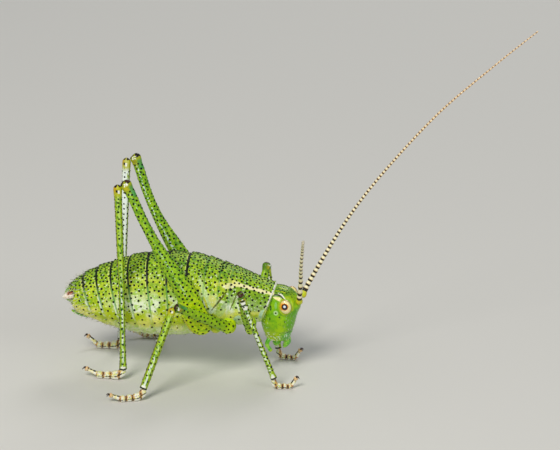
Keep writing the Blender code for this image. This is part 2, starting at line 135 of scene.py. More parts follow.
# antennae: X, Y, Z of the middle line, then share of the length and width
FEELER_ROUTES = {
    "right": [
        (6.26, -0.54, 4.28), (6.46, -1.50, 5.79), (6.63, -2.80, 7.08),
        (7.10, -6.00, 9.55), (7.97, -13.50, 12.06), (8.41, -17.30, 13.32),
    ],
    "left": [
        (6.32, 0.28, 4.34), (6.78, 0.60, 5.32), (8.63, 1.16, 8.53), (10.62, 1.60, 11.27),
        (13.57, 2.26, 14.59), (16.49, 2.92, 17.17), (18.91, 3.58, 19.12),
    ],
}
FEELER_WIDTHS = [
    (0.0, 0.40), (0.022, 0.36), (0.03, 0.29), (0.10, 0.25),
    (0.20, 0.20), (0.35, 0.16), (0.60, 0.125), (1.0, 0.07),
]
FEELER_LENGTHS = 4
BEADS = {"right": 0.40, "left": 0.20}      # length of an antenna's last beads

# limbs: share of the length, width, height, shift to the outside of the limb's bow
HIND_FEMUR = [
    (0.0, 0.54, 0.66, 0.28),
    (0.05, 0.64, 1.30, 0.36),
    (0.10, 0.70, 1.40, 0.37),
    (0.18, 0.74, 1.40, 0.27),
    (0.26, 0.74, 1.22, 0.12),
    (0.36, 0.70, 1.04, 0.10),
    (0.46, 0.64, 0.90, 0.13),
    (0.57, 0.56, 0.68, 0.16),
    (0.68, 0.52, 0.56, 0.16),
    (0.80, 0.50, 0.55, 0.11),
    (0.92, 0.50, 0.58, 0.01),
    (1.0, 0.52, 0.64, -0.02),
]
FRONT_FEMUR = [
    (0.0, 0.44, 0.52, 0.0), (0.25, 0.50, 0.58, 0.0), (0.60, 0.48, 0.54, 0.0),
    (0.88, 0.44, 0.48, 0.0), (1.0, 0.48, 0.54, 0.0),
]
MID_FEMUR = [
    (0.0, 0.70, 0.74, 0.0), (0.10, 0.62, 0.68, 0.0), (0.30, 0.54, 0.60, 0.0),
    (0.60, 0.48, 0.54, 0.0), (0.88, 0.44, 0.48, 0.0), (1.0, 0.48, 0.54, 0.0),
]
HIND_TIBIA = [
    (0.0, 0.46, 0.50, 0.0), (0.03, 0.48, 0.50, 0.0), (0.10, 0.44, 0.46, 0.0), (0.50, 0.40, 0.40, 0.0),
    (0.75, 0.38, 0.36, 0.0), (0.94, 0.40, 0.40, 0.0), (1.0, 0.46, 0.46, 0.0),
]
MID_TIBIA = [
    (0.0, 0.44, 0.44, 0.0), (0.08, 0.44, 0.44, 0.0), (0.50, 0.42, 0.44, 0.0),
    (0.92, 0.42, 0.44, 0.0), (1.0, 0.44, 0.46, 0.0),
]
FRONT_TIBIA = [
    (0.0, 0.40, 0.44, 0.0), (0.10, 0.40, 0.40, 0.0), (0.30, 0.32, 0.31, 0.0),
    (0.60, 0.32, 0.31, 0.0), (0.92, 0.34, 0.35, 0.0), (1.0, 0.40, 0.40, 0.0),
]
COXA = [(0.0, 0.62, 0.90, 0.0), (0.45, 0.66, 0.92, 0.0), (1.0, 0.48, 0.50, 0.0)]
MID_COXA = [(0.0, 0.66, 0.90, 0.0), (0.50, 0.82, 0.94, 0.0), (1.0, 0.84, 0.90, 0.0)]
COXAE = {"hind": COXA, "mid": MID_COXA, "front": COXA}
FEMORA = {"hind": HIND_FEMUR, "mid": MID_FEMUR, "front": FRONT_FEMUR}
TIBIAE = {"hind": HIND_TIBIA, "mid": MID_TIBIA, "front": FRONT_TIBIA}
HIND_SWELL = 0.58               # how far a hind femur bends outward
HIP_OVERRUN = 0.26              # how far a femur runs on inside its coxa
KNEE_OVERRUN = 0.16
# foot: distance from the ankle, underside, top, width; three pads that bulge between their joints
FOOT = [
    (-0.20, 0.36, 0.72, 0.36), (0.02, 0.20, 0.70, 0.42), (0.20, 0.08, 0.61, 0.44), (0.36, 0.00, 0.58, 0.50),
    (0.58, 0.00, 0.53, 0.50), (0.70, 0.03, 0.46, 0.42), (0.76, 0.13, 0.41, 0.34), (0.84, 0.02, 0.46, 0.44),
    (0.98, 0.00, 0.49, 0.50), (1.10, 0.00, 0.45, 0.48), (1.18, 0.04, 0.39, 0.40), (1.22, 0.13, 0.36, 0.34),
    (1.30, 0.01, 0.41, 0.46), (1.44, 0.00, 0.45, 0.52), (1.58, 0.00, 0.42, 0.50), (1.70, 0.12, 0.34, 0.38),
]
FOOT_JOINTS = (0.20, 0.76, 1.22, 1.66)
FOOT_POWER = 2.4
FOOT_CAP = 0.12                 # length of a foot's rounded ends
SOLE = 0.002                    # height of its flats
# last joint of a foot: share of its length, width
TOE = [(0.0, 0.26), (0.25, 0.24), (0.60, 0.20), (0.78, 0.21), (0.92, 0.29), (1.0, 0.24)]
# claw: share of its length, climb, width
CLAW_SHAPE = [(0.0, 0.0, 0.09), (0.35, 0.03, 0.08), (0.7, 0.0, 0.05), (1.0, -0.08, 0.015)]
COAT = 0.015                    # depth of the skin inside the solids

# joints of each leg on its own side, with Y outward
LEGS = {
    "hind_right": dict(root=(1.80, 0.72, 2.98), hip=(1.62, 1.66, 3.00), knee=(-2.94, 3.00, 11.60),
                       shin=(-3.35, 3.00, 11.33), ankle=(-3.32, 2.35, 0.72), heading=187.0,
                       foot=0.92, toe=0.62, rise=0.24, bow=-0.05, arch=0.0),
    "hind_left": dict(root=(1.80, 0.72, 2.98), hip=(1.25, 1.70, 2.95), knee=(-3.40, 3.00, 11.30),
                      shin=(-3.87, 3.00, 11.03), ankle=(-4.24, 2.50, 0.70), heading=176.0,
                      foot=0.88, toe=0.50, rise=0.46, bow=0.02, arch=0.45),
    "mid_right": dict(root=(2.40, 0.75, 3.10), hip=(2.50, 1.60, 3.05), knee=(0.02, 4.20, 5.02),
                      shin=(-0.24, 4.20, 4.86), ankle=(-1.70, 5.30, 0.70), heading=163.0,
                      foot=0.80, toe=0.52, rise=0.20, bow=-0.03, arch=0.0),
    "mid_left": dict(root=(2.40, 0.75, 3.10), hip=(2.50, 1.60, 3.05), knee=(-0.20, 4.00, 4.60),
                     shin=(-0.46, 4.00, 4.44), ankle=(-2.05, 4.62, 0.70), heading=182.0,
                     foot=0.80, toe=0.50, rise=0.20, bow=-0.03, arch=0.0),
    "front_right": dict(root=(3.62, 0.70, 3.25), hip=(3.62, 1.42, 2.86), knee=(3.42, 3.60, 5.68),
                        shin=None, ankle=(5.12, 2.76, 0.68), heading=-15.0,
                        foot=0.62, toe=0.22, rise=0.44, bow=0.05, arch=0.0),
    "front_left": dict(root=(3.62, 0.70, 3.25), hip=(3.62, 1.42, 2.86), knee=(4.06, 2.80, 5.30),
                       shin=None, ankle=(4.80, 2.00, 0.68), heading=0.0,
                       foot=0.62, toe=0.22, rise=0.46, bow=0.02, arch=0.0),
}


def mirrored(point, side):
    return Vector((point[0], point[1] * side, point[2]))


def mirrored_rows(rows, side):
    """Rows of X, Y, Z, width and height, taken to the side wanted."""
    return [(*mirrored(row[:3], side), *row[3:]) for row in rows]


def frame_offset():
    """Where the drawing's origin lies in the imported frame, in millimetres."""
    low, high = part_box("abdomen_middle")
    middle = (low + high) / (2.0 * MM)
    return Vector((middle.x - (RIMS[4] + RIMS[6]) / 2.0, middle.y, 0.0))


OFFSET = frame_offset()
TO_FRAME = Matrix.Scale(MM, 4) @ Matrix.Translation(OFFSET)
BOX_LOW, BOX_HIGH = (np.array(corner) / MM - np.array(OFFSET) for corner in CAD_BOX)


# ---- shader maths -----------------------------------------------------------------------
class Tone:
    """A shader socket that ordinary arithmetic works on."""

    def __init__(self, paint, socket):
        self.paint = paint
        self.socket = socket

    def math(self, operation, *values):
        inputs = dict(enumerate(values))
        return self.paint.node("ShaderNodeMath", {"operation": operation}, inputs)

    def __add__(self, other):
        return self.math("ADD", self, other)

    def __radd__(self, other):
        return self.math("ADD", other, self)

    def __sub__(self, other):
        return self.math("SUBTRACT", self, other)

    def __rsub__(self, other):
        return self.math("SUBTRACT", other, self)

    def __mul__(self, other):
        return self.math("MULTIPLY", self, other)

    def __rmul__(self, other):
        return self.math("MULTIPLY", other, self)

    def __truediv__(self, other):
        return self.math("DIVIDE", self, other)

    def __pow__(self, other):
        return self.math("POWER", self, other)

    def absolute(self):
        return self.math("ABSOLUTE", self)

    def fraction(self):
        return self.math("FRACT", self)

    def most(self, other):
        return self.math("MAXIMUM", self, other)


class Paint:
    """One material, and the making of its nodes."""

    def __init__(self, name, roughness=0.4, coat=0.0, coat_roughness=0.1):
        self.material = bpy.data.materials.new(name)
        self.material.use_nodes = True
        self.tree = self.material.node_tree
        self.shader = self.tree.nodes["Principled BSDF"]
        self.shader.inputs["Roughness"].default_value = roughness
        self.shader.inputs["Specular IOR Level"].default_value = 0.25
        self.shader.inputs["Coat Weight"].default_value = coat
        self.shader.inputs["Coat Roughness"].default_value = coat_roughness

    def node(self, kind, settings, inputs, output=0):
        node = self.tree.nodes.new(kind)
        for key, value in settings.items():
            setattr(node, key, value)
        for key, value in inputs.items():
            self.feed(node.inputs[key], value)
        return Tone(self, node.outputs[output])

    def feed(self, socket, value):
        if isinstance(value, Tone):
            self.tree.links.new(value.socket, socket)
        else:
            socket.default_value = value

    def set(self, name, value):
        self.feed(self.shader.inputs[name], value)

    def attribute(self, name):
        """The three parts of a vector that the piece's points carry."""
        value = self.node("ShaderNodeAttribute", {"attribute_name": name}, {}, output=1)
        return self.parts(value)

    def parts(self, value):
        split = self.node("ShaderNodeSeparateXYZ", {}, {0: value})
        node = split.socket.node
        return [Tone(self, socket) for socket in node.outputs]

    def place(self):
        """The point's place in the drawing frame, in millimetres."""
        where = self.node("ShaderNodeTexCoord", {}, {}, output=3)
        inputs = {"Vector": where, "Location": tuple(-OFFSET), "Scale": (1.0 / MM,) * 3}
        return self.node("ShaderNodeMapping", {}, inputs)

    def noise(self, at, scale, detail=2.0, stretch=(1.0, 1.0, 1.0)):
        at = self.node("ShaderNodeMapping", {}, {"Vector": at, "Scale": stretch})
        return self.node("ShaderNodeTexNoise", {}, {"Vector": at, "Scale": scale, "Detail": detail})

    def cells(self, at, scale, jitter=1.0):
        """Distance from the middles of small cells."""
        inputs = {"Vector": at, "Scale": scale, "Randomness": jitter}
        return self.node("ShaderNodeTexVoronoi", {"feature": "F1"}, inputs)

    def rise(self, value, low, high):
        """0 below low, 1 above high, with a smooth climb between; high under low turns it round."""
        settings = {"interpolation_type": "SMOOTHSTEP"}
        if high < low:
            return 1.0 - self.rise(value, high, low)
        return self.node("ShaderNodeMapRange", settings, {0: value, 1: low, 2: high})

    def band(self, value, low, high, soft):
        """1 between low and high, 0 outside them, with soft edges."""
        return self.rise(value, low - soft, low + soft) * self.rise(value, high + soft, high - soft)

    def mix(self, factor, first, second):
        """The first colour where the factor is 0, the second where it is 1."""
        inputs = {0: factor, 6: first, 7: second}
        return self.node("ShaderNodeMix", {"data_type": "RGBA"}, inputs, output=2)

    def net(self, at, scale, width):
        """Fine lines between small cells: 1 on a line, 0 off it."""
        inputs = {"Vector": at, "Scale": scale}
        edge = self.node("ShaderNodeTexVoronoi", {"feature": "DISTANCE_TO_EDGE"}, inputs)
        return self.rise(edge, width, width * 0.3)

    def patch(self, at, middle, reach, slant=0.0, ragged=0.5):
        """1 inside a ragged oval on the side of the body round an X and a Z, leaning by slant."""
        x, _, z = self.parts(at)
        wide = (x - middle[0] - slant * (z - middle[1])) / reach[0]
        high = (z - middle[1]) / reach[1]
        away = (wide * wide + high * high) ** 0.5 + (self.noise(at, 2.4, 2.0) - 0.5) * ragged
        return self.rise(away, 1.12, 0.8)

    def plan(self):
        """The point's place on the piece as it was drawn, before it was turned."""
        return self.node("ShaderNodeAttribute", {"attribute_name": "plan"}, {}, output=1)

    def distance(self, at, point, stretch=(1.0, 1.0, 1.0)):
        """How far the place is from a point, with each axis weighed."""
        away = self.node("ShaderNodeVectorMath", {"operation": "SUBTRACT"}, {0: at, 1: tuple(point)})
        away = self.node("ShaderNodeVectorMath", {"operation": "MULTIPLY"}, {0: away, 1: stretch})
        return self.node("ShaderNodeVectorMath", {"operation": "LENGTH"}, {0: away}, output=1)

    def bump(self, height, depth, strength=1.0):
        inputs = {"Height": height, "Distance": depth * MM, "Strength": strength}
        self.set("Normal", self.node("ShaderNodeBump", {}, inputs))


def colour(red, green, blue):
    """A colour of the usual 0 to 255 values, as the linear values that a shader takes."""
    values = [part / 255.0 for part in (red, green, blue)]
    linear = [part / 12.92 if part <= 0.04045 else ((part + 0.055) / 1.055) ** 2.4 for part in values]
    return (*linear, 1.0)


LIME = colour(146, 184, 12)
YELLOW_GREEN = colour(190, 208, 26)
PALE_GREEN = colour(190, 216, 120)
ICE = colour(184, 224, 196)
TEAL = colour(52, 140, 92)
NET_GREEN = colour(46, 96, 28)
CREAM = colour(244, 234, 160)
WHITE = colour(244, 244, 230)
YELLOW = colour(214, 200, 44)
ORANGE = colour(190, 92, 14)
BROWN = colour(78, 40, 12)
BLACK = colour(12, 14, 8)


# ---- making pieces ----------------------------------------------------------------------
def smooth(stations, steps):
    """Rows of values on a Catmull-Rom curve through the stations."""
    rows = [np.array(row, float) for row in (stations[0], *stations, stations[-1])]
    result = []
    for before, start, end, after in zip(rows, rows[1:], rows[2:], rows[3:]):
        for step in range(steps):
            t = step / steps
            result.append(0.5 * (2.0 * start + (end - before) * t
                                 + (2.0 * before - 5.0 * start + 4.0 * end - after) * t ** 2
                                 + (3.0 * start - before - 3.0 * end + after) * t ** 3))
    result.append(rows[-1])
    return np.array(result)


def power(value, exponent):
    return math.copysign(abs(value) ** exponent, value)


def finish(name, bm, material, replaced=(), pose=STILL):
    """Hand a bmesh drawn in millimetres over as a finished piece that rides on the body."""
    bmesh.ops.recalc_face_normals(bm, faces=bm.faces)
    bmesh.ops.transform(bm, matrix=TO_FRAME @ pose, verts=bm.verts)
    mesh = bpy.data.meshes.new(name)
    bm.to_mesh(mesh)
    bm.free()
    return place_piece(name, mesh, material, replaced)


def place_piece(name, mesh, material, replaced=()):
    mesh.shade_smooth()
    mesh.materials.append(material)
    piece = bpy.data.objects.new(name, mesh)
    bpy.context.scene.collection.objects.link(piece)
    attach(piece, "root")
    if replaced:
        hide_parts(*replaced)
    return piece


def skin(surface, rows, sides, extra=None):
    """A closed skin on a sphere's net: a ring at each row of the surface, and a pole at each end.

    Each point carries run (distance from the start, distance to the end, share of the length),
    lie (share sideways, share upwards, the value that extra gives for the row) and plan, its place.
    """
    bm = bmesh.new()
    bm.loops.layers.uv.new("OFBake")
    rings = len(rows) + 1
    bmesh.ops.create_uvsphere(bm, u_segments=sides, v_segments=rings, radius=1.0, calc_uvs=True)
    run = bm.verts.layers.float_vector.new("run")
    lie = bm.verts.layers.float_vector.new("lie")
    plan = bm.verts.layers.float_vector.new("plan")
    first, last = rows[0], rows[-1]
    for vert in bm.verts:
        ring = round(math.acos(max(-1.0, min(1.0, vert.co.z))) / math.pi * rings)
        pole = ring in (0, rings)
        row = rows[min(max(ring - 1, 0), len(rows) - 1)]
        angle = math.atan2(vert.co.y, vert.co.x)
        if pole:
            middle = [Vector(surface(row, TAU * i / 8)) for i in range(8)]
            vert.co = sum(middle, Vector()) / len(middle)
        else:
            vert.co = surface(row, angle)
        vert[run] = (abs(row - first), abs(last - row), (row - first) / (last - first))
        vert[lie] = (math.cos(angle), math.sin(angle), extra(row) if extra else 0.0)
        vert[plan] = vert.co
    layer = bm.loops.layers.uv.active
    for face in bm.faces:
        for loop in face.loops:
            loop[layer].uv.y = loop.vert[run][2]
    return bm


def spread(low, high, count):
    return [low + (high - low) * i / count for i in range(count + 1)]


def roots(surface, span, gap, tries, seed):
    """Places spread evenly over a surface by throwing darts. gap(along, angle) is the least
    distance to the others, or 0 where nothing grows."""
    rng = random.Random(seed)
    taken = np.empty((tries, 3))
    found = []
    for _ in range(tries):
        along = rng.uniform(*span)
        angle = rng.uniform(-math.pi, math.pi)
        distance = gap(along, angle)
        if distance <= 0.0:
            continue
        point = surface(along, angle)
        count = len(found)
        if count and ((taken[:count] - np.array(point)) ** 2).sum(1).min() < distance ** 2:
            continue
        taken[count] = point
        found.append((along, angle))
    return found


def stance(surface, along, angle, turn=0.0, lean=0.0):
    """The matrix of a thing that grows on a surface: its Z stands off the skin, leaning by lean
    degrees towards its X, which lies along the surface and is turned by turn degrees."""
    step = 1e-3
    point = Vector(surface(along, angle))
    forward = Vector(surface(along + step, angle)) - point
    round_it = Vector(surface(along, angle + step)) - point
    normal = forward.cross(round_it).normalized()
    if normal.dot(point - Vector(surface(along, angle + math.pi))) < 0.0:
        normal.negate()
    forward = (forward - normal * forward.dot(normal)).normalized()
    matrix = Matrix((forward, normal.cross(forward), normal)).transposed().to_4x4()
    matrix = matrix @ Matrix.Rotation(math.radians(turn), 4, "Z")
    matrix = matrix @ Matrix.Rotation(math.radians(lean), 4, "Y")
    matrix.translation = point
    return matrix


def dome():
    """A low round bump, for a speck."""
    bm = bmesh.new()
    bmesh.ops.create_cone(bm, cap_ends=True, segments=8, radius1=1.0, radius2=0.62, depth=0.5)
    return bm


def hair():
    """A tapering bristle of unit length that stands on its root."""
    bm = bmesh.new()
    bmesh.ops.create_cone(bm, cap_ends=True, segments=4, radius1=1.0, radius2=0.15, depth=1.0)
    bmesh.ops.translate(bm, vec=Vector((0.0, 0.0, 0.5)), verts=bm.verts)
    return bm


PATCH_REACH = 0.0015            # half the width of a copy's patch on the unwrap


def scatter(name, shape, stances, material, pose=STILL):
    """Many copies of one small shape, joined in one mesh. Each stance is a matrix and the place
    of its root on the skin's own unwrap, where the copy takes a small patch. What would stand
    out of the solids' own box is left out."""
    bmesh.ops.recalc_face_normals(shape, faces=shape.faces)
    template = bpy.data.meshes.new(name + "_shape")
    shape.to_mesh(template)
    shape.free()
    corners = np.array([vert.co for vert in template.vertices])
    faces = [list(face.vertices) for face in template.polygons]
    reach = np.abs(corners).max(0)
    points, loops, patches = [], [], []
    for matrix, place in stances:
        turned = corners @ np.array(matrix.to_3x3()).T + np.array(matrix.translation)
        if (turned < BOX_LOW).any() or (turned > BOX_HIGH).any():
            continue
        loops += [[index + len(points) * len(corners) for index in face] for face in faces]
        points.append(turned)
        patch = np.array(place) + corners[:, :2] / reach[:2] * PATCH_REACH
        patches += [patch[index] for face in faces for index in face]
    bpy.data.meshes.remove(template)
    mesh = bpy.data.meshes.new(name)
    mesh.from_pydata(np.concatenate(points), [], loops)
    layer = mesh.uv_layers.new(name="OFBake")
    layer.uv.foreach_set("vector", np.array(patches, np.float32).ravel())
    mesh.transform(TO_FRAME @ pose)
    mesh.update()
    return place_piece(name, mesh, material)


def unwrap(along, span, angle):
    """The place of a root on the skin's net, kept off its edges."""
    return (0.01 + 0.98 * ((angle / TAU) % 1.0), 0.01 + 0.98 * (along - span[0]) / (span[1] - span[0]))


def sized(matrix, width, length):
    return matrix @ Matrix.Diagonal((width, width, length, 1.0))


def grown(surface, span, along, angle, turn=0.0, lean=0.0, width=1.0, length=1.0):
    """One copy for scatter: how it stands on a surface, and its root's place on the unwrap."""
    return sized(stance(surface, along, angle, turn, lean), width, length), unwrap(along, span, angle)


# ---- trunk ------------------------------------------------------------------------------
TRUNK_CURVE = smooth(TRUNK, 24)


def trunk_section(x):
    return [float(np.interp(x, TRUNK_CURVE[:, 0], TRUNK_CURVE[:, glint_column])) for glint_column in (1, 2, 3)]


def ring_lean(station):
    """How far a ring's lower parts lie ahead of its top, for each millimetre down."""
    return float(np.interp(station, [-5.8, -2.0, 1.2, 2.9, 4.3], [0.32, 0.11, -0.05, -0.08, -0.36]))


def behind_rim(station):
    """Distance back from the rear edge of the plate ahead."""
    ahead = [rim for rim in RIMS if rim >= station]
    return ahead[0] - station if ahead else 9.0


def plate_share(station):
    """0 at a plate's own rear edge, 1 where it goes under the plate ahead."""
    edges = [TRUNK[0][0], *RIMS, PRONOTUM_FRONT]
    for rear, front in zip(edges, edges[1:]):
        if rear < station <= front:
            return (station - rear) / (front - rear)
    return 0.0


def trunk(station, angle):
    """A point of the trunk's skin. The station is the X of its ring's top."""
    c, s = math.cos(angle), math.sin(angle)
    back = trunk_section(min(station, PRONOTUM_FRONT))[0]
    x = station
    for _ in range(3):
        top, bottom, half = trunk_section(x)
        middle = (top + bottom) / 2.0
        radius = (top - bottom) / 2.0
        z = middle + radius * power(s, 2.0 / TRUNK_POWER)
        x = station + ring_lean(station) * (back - z)
    y = half * power(c, 2.0 / TRUNK_POWER)
    size = math.hypot(y, z - middle)
    depth = COAT + relief(station, s)
    share = max(0.0, 1.0 - depth / size)
    if station < TRUNK[0][0] + TAIL_CAP:
        share *= math.sqrt(max(0.0, 1.0 - ((TRUNK[0][0] + TAIL_CAP - station) / TAIL_CAP) ** 2))
    if station > PRONOTUM_FRONT:
        share *= NECK_SHARE
    return Vector((x, y * share, middle + (z - middle) * share))


def relief(station, s):
    """Depth of the plates' steps and of the body's folds under the smooth form."""
    upper = smoothstep(s, -0.85, -0.35)
    share = plate_share(station)
    thorax = station > RIMS[7]
    step = RIM_STEP * (0.75 if thorax else 1.0)
    depth = step * share ** 1.4 * (0.25 + 0.75 * upper)
    if not thorax:
        fold = math.exp(-((s + 0.62) / 0.10) ** 2)
        depth += 0.06 * fold
        depth += 0.03 * (1.0 - upper) * (0.5 + 0.5 * math.cos(share * TAU))
    else:
        depth += thorax_folds(station, s)
    rim = abs(station - PRONOTUM_FRONT + 0.05)
    depth -= 0.025 * math.exp(-(rim / 0.05) ** 2)
    return depth


def thorax_folds(station, s):
    """The slanting grooves between the side plates above the legs."""
    depth = 0.0
    for start, slope in ((1.62, 0.55), (2.30, 0.45), (2.95, 0.30)):
        line = station - (start - slope * (s + 0.1))
        depth += 0.08 * math.exp(-(line / 0.08) ** 2) * smoothstep(-s, -0.25, 0.05)
    lobe = smoothstep(station, 2.9, 3.4) * math.exp(-((s + 0.66) / 0.06) ** 2)
    return depth + 0.05 * lobe


def smoothstep(value, low, high):
    t = min(max((value - low) / (high - low), 0.0), 1.0)
    return t * t * (3.0 - 2.0 * t)


def trunk_rows():
    """Stations close together at the plates' edges and further apart between."""
    rows = set()
    start = TRUNK[0][0]
    for step in range(9):
        rows.add(round(start + TAIL_CAP * (1.0 - math.cos(math.pi * (step + 0.5) / 18.0)), 4))
    edges = [start + TAIL_CAP, *RIMS, PRONOTUM_FRONT]
    for rear, front in zip(edges, edges[1:]):
        count = max(4, round((front - rear - 0.2) / 0.085))
        rows.update(round(value, 4) for value in spread(rear + 0.05, front - 0.16, count))
        rows.update(round(front - back, 4) for back in (0.12, 0.09, 0.06, 0.035, 0.0, -0.02))
    rows.update((PRONOTUM_FRONT + 0.03, NECK_END))
    return sorted(rows)


def trunk_paint():
    """Green that pales from the netted back to the belly, in bands that waver with the cloud."""
    paint = Paint("green_skin", roughness=0.46, coat=0.05, coat_roughness=0.22)
    at = paint.place()
    _, up, behind = paint.attribute("lie")
    x, _, _ = paint.parts(at)
    start, _, _ = paint.attribute("run")
    station = start + TRUNK[0][0]
    cloud = paint.noise(at, 0.8, 3.0)
    grain = paint.noise(at, 3.8, 3.0)
    veins = paint.net(at, 5.5, 0.17)
    height = up + (cloud - 0.5) * 0.4 + (grain - 0.5) * 0.3
    back = paint.mix(paint.rise(grain, 0.34, 0.64), colour(104, 158, 24), colour(176, 210, 26))
    back = paint.mix(veins * 0.35, back, NET_GREEN)
    flank = paint.mix(paint.rise(grain, 0.38, 0.60), LIME, colour(200, 218, 36))
    flank = paint.mix(veins * 0.22, flank, colour(90, 146, 20))
    pale = paint.mix(paint.rise(grain, 0.40, 0.56), colour(184, 220, 110), colour(238, 248, 214))
    gold = paint.mix(paint.rise(cloud, 0.42, 0.54), colour(182, 204, 14), colour(236, 238, 110))
    side_plates = paint.mix(veins * 0.4, colour(122, 168, 4), NET_GREEN)
    flank = paint.mix(paint.rise(x, 1.9, 2.7) * 0.85, flank, side_plates)
    milk = paint.mix(paint.rise(grain, 0.40, 0.58), colour(200, 226, 128), colour(224, 236, 184))
    middle = paint.rise(x, -4.8, -3.0)
    tone = paint.mix(paint.rise(height, 0.84, 0.44), back, flank)
    pale_part = middle * (1.0 - 0.7 * paint.rise(x, 2.9, 3.5))
    pale_part = paint.rise(height, 0.40, 0.02) * paint.rise(cloud, 0.36, 0.48) * pale_part
    tone = paint.mix(pale_part, tone, pale)
    tone = paint.mix(paint.rise(height, -0.10, -0.34), tone, gold)
    tone = paint.mix(paint.rise(height, -0.50, -0.74) * (0.10 + 0.90 * middle), tone, milk)
    tone = paint.mix(paint.rise(up, -0.88, -0.97) * 0.8, tone, colour(112, 172, 52))
    tone = thorax_marks(paint, tone, at, x, up)
    glint = paint.rise(paint.noise(at, 9.0, 1.0), 0.64, 0.68) * paint.band(up, -0.40, 0.88, 0.15)
    tone = paint.mix(glint * 0.75, tone, colour(236, 246, 222))
    paint.set("Base Color", plate_marks(paint, tone, up, behind, station, grain))
    pores = paint.cells(at, 9.0)
    paint.bump(paint.rise(pores, 0.1, 0.5) * 0.5 + paint.noise(at, 6.0, 3.0), 0.035, 0.7)
    paint.set("Roughness", 0.38 + 0.24 * grain)
    return paint.material


def plate_marks(paint, tone, up, behind, station, grain):
    """The dark line at each plate's rear edge, partly the plates' own dark edge and partly painted shadow
    under it, with pale borders and streaks.
    """
    abdomen = paint.rise(station, RIMS[6] + 0.3, RIMS[6] + 0.2)
    tail = paint.rise(station, -1.6, -3.2)
    crease = paint.rise(behind, 0.42, 0.10) * paint.band(up, -0.70, 0.45, 0.15)
    tone = paint.mix(crease * 0.5 * abdomen, tone, LIME)
    border = paint.band(behind, 0.13, 0.18, 0.014) * paint.rise(up, -0.40, 0.10)
    border = border * paint.rise(grain, 0.40, 0.50)
    tone = paint.mix(border * (0.35 + 0.4 * abdomen), tone, colour(226, 234, 120))
    streak = paint.band(behind, 0.06, 0.18, 0.03) * paint.band(up, -0.45, 0.14, 0.12)
    streak = streak * paint.rise(grain, 0.38, 0.52)
    tone = paint.mix(streak * (0.25 + 0.65 * tail), tone, colour(228, 240, 210))
    line = paint.band(behind, -0.06, 0.10, 0.014)
    tone = paint.mix(line * paint.rise(up, -0.45, -0.05) * (0.28 + 0.27 * abdomen), tone, TEAL)
    # partly painted shadow: the black line where a plate's rear edge overhangs the next plate
    dark = paint.band(behind + tail * 0.035, -0.07, 0.135, 0.014)
    dark = dark * paint.rise(up + (grain - 0.5) * 0.5, 0.22, 0.58)
    tone = paint.mix(dark * (0.10 + 0.88 * abdomen), tone, BLACK)
    front = paint.band(station, PRONOTUM_FRONT - 0.055, PRONOTUM_FRONT + 0.02, 0.012)
    rim = paint.mix(paint.rise(up, 0.05, -0.35), WHITE, YELLOW_GREEN)
    return paint.mix(front * 0.95 * paint.rise(up, -0.75, -0.5), tone, rim)


# middle X and Z, reach along X and Z, slant, tone, strength
# the white and icy patches are painted highlights on the smooth side plates; the two dark olive lines are
# painted shade in their folds
THORAX_PATCHES = [
    ((2.46, 5.39), (0.36, 0.15), 0.0, colour(244, 238, 170), 0.90),
    ((2.02, 5.50), (0.34, 0.10), 0.0, colour(224, 228, 84), 0.65),
    ((1.30, 4.80), (0.17, 1.00), -0.42, colour(206, 232, 160), 0.80),
    ((1.66, 4.55), (0.24, 0.40), -0.30, colour(228, 230, 120), 0.85),
    ((1.55, 4.02), (0.14, 0.20), 0.20, colour(220, 240, 206), 0.90),
    ((1.24, 4.52), (0.06, 0.40), -0.30, colour(212, 214, 20), 0.90),
    ((2.30, 4.40), (0.16, 0.36), 0.50, colour(104, 150, 16), 0.55),
    ((2.57, 5.20), (0.11, 0.07), 0.20, BROWN, 0.80),
    ((1.95, 4.58), (0.07, 0.58), 0.75, colour(92, 88, 14), 0.95),
    ((2.01, 3.92), (0.24, 0.28), 0.30, colour(196, 226, 130), 0.65),
    ((2.45, 4.15), (0.09, 0.24), 0.60, WHITE, 0.60),
    ((2.75, 4.55), (0.05, 0.50), 0.40, colour(88, 94, 12), 0.80),
    ((2.91, 3.49), (0.20, 0.22), 0.40, colour(206, 236, 206), 0.85),
    ((4.26, 3.75), (0.16, 0.30), 0.30, ICE, 0.85),
]


def thorax_marks(paint, tone, at, x, up):
    """The cream stripe under the back and the pale, icy and yellow patches of the side plates; the white and
    icy ones are painted highlights, and the dark olive lines are painted shade in the folds.
    """
    _, _, z = paint.parts(at)
    wave = paint.noise(at, 2.0, 2.0) - 0.5
    away = (z - 5.56 + 0.315 * (x - 2.58) + wave * 0.10).absolute()
    wide = 0.07 + 0.07 * paint.rise(x, 3.2, 2.7) + wave * 0.10
    stripe = paint.rise(away - wide, 0.04, -0.03) * paint.band(x, 2.45, 5.2, 0.12)
    cream = paint.mix(paint.rise(x, 3.2, 2.5), colour(246, 238, 176), colour(220, 224, 80))
    tone = paint.mix(stripe * paint.rise(up, 0.97, 0.85), tone, cream)
    for middle, reach, slant, shade, strength in THORAX_PATCHES:
        tone = paint.mix(paint.patch(at, middle, reach, slant) * strength, tone, shade)
    return tone


SPECKED = (-6.75, 4.85)         # stations between which the trunk carries specks
BELLY = -0.66                   # share of the half height under which it carries none
SPECK_RISE = 1.3                # height of a trunk speck beside its width


def trunk_gap(station, angle):
    """Specks stand close on the back, wider down the flank and nowhere on the belly."""
    s = math.sin(angle)
    if station < -6.7 or station > SPECKED[1] or s < BELLY:
        return 0.0
    if behind_rim(station) < 0.10:
        return 0.0
    if RIMS[7] < station < RIMS[9] + 0.4 and s < 0.15:
        return 0.50
    heights = [BELLY, -0.45, -0.1, 0.3, 0.75, 1.0]
    return float(np.interp(s, heights, [0.46, 0.38, 0.285, 0.225, 0.178, 0.170]))


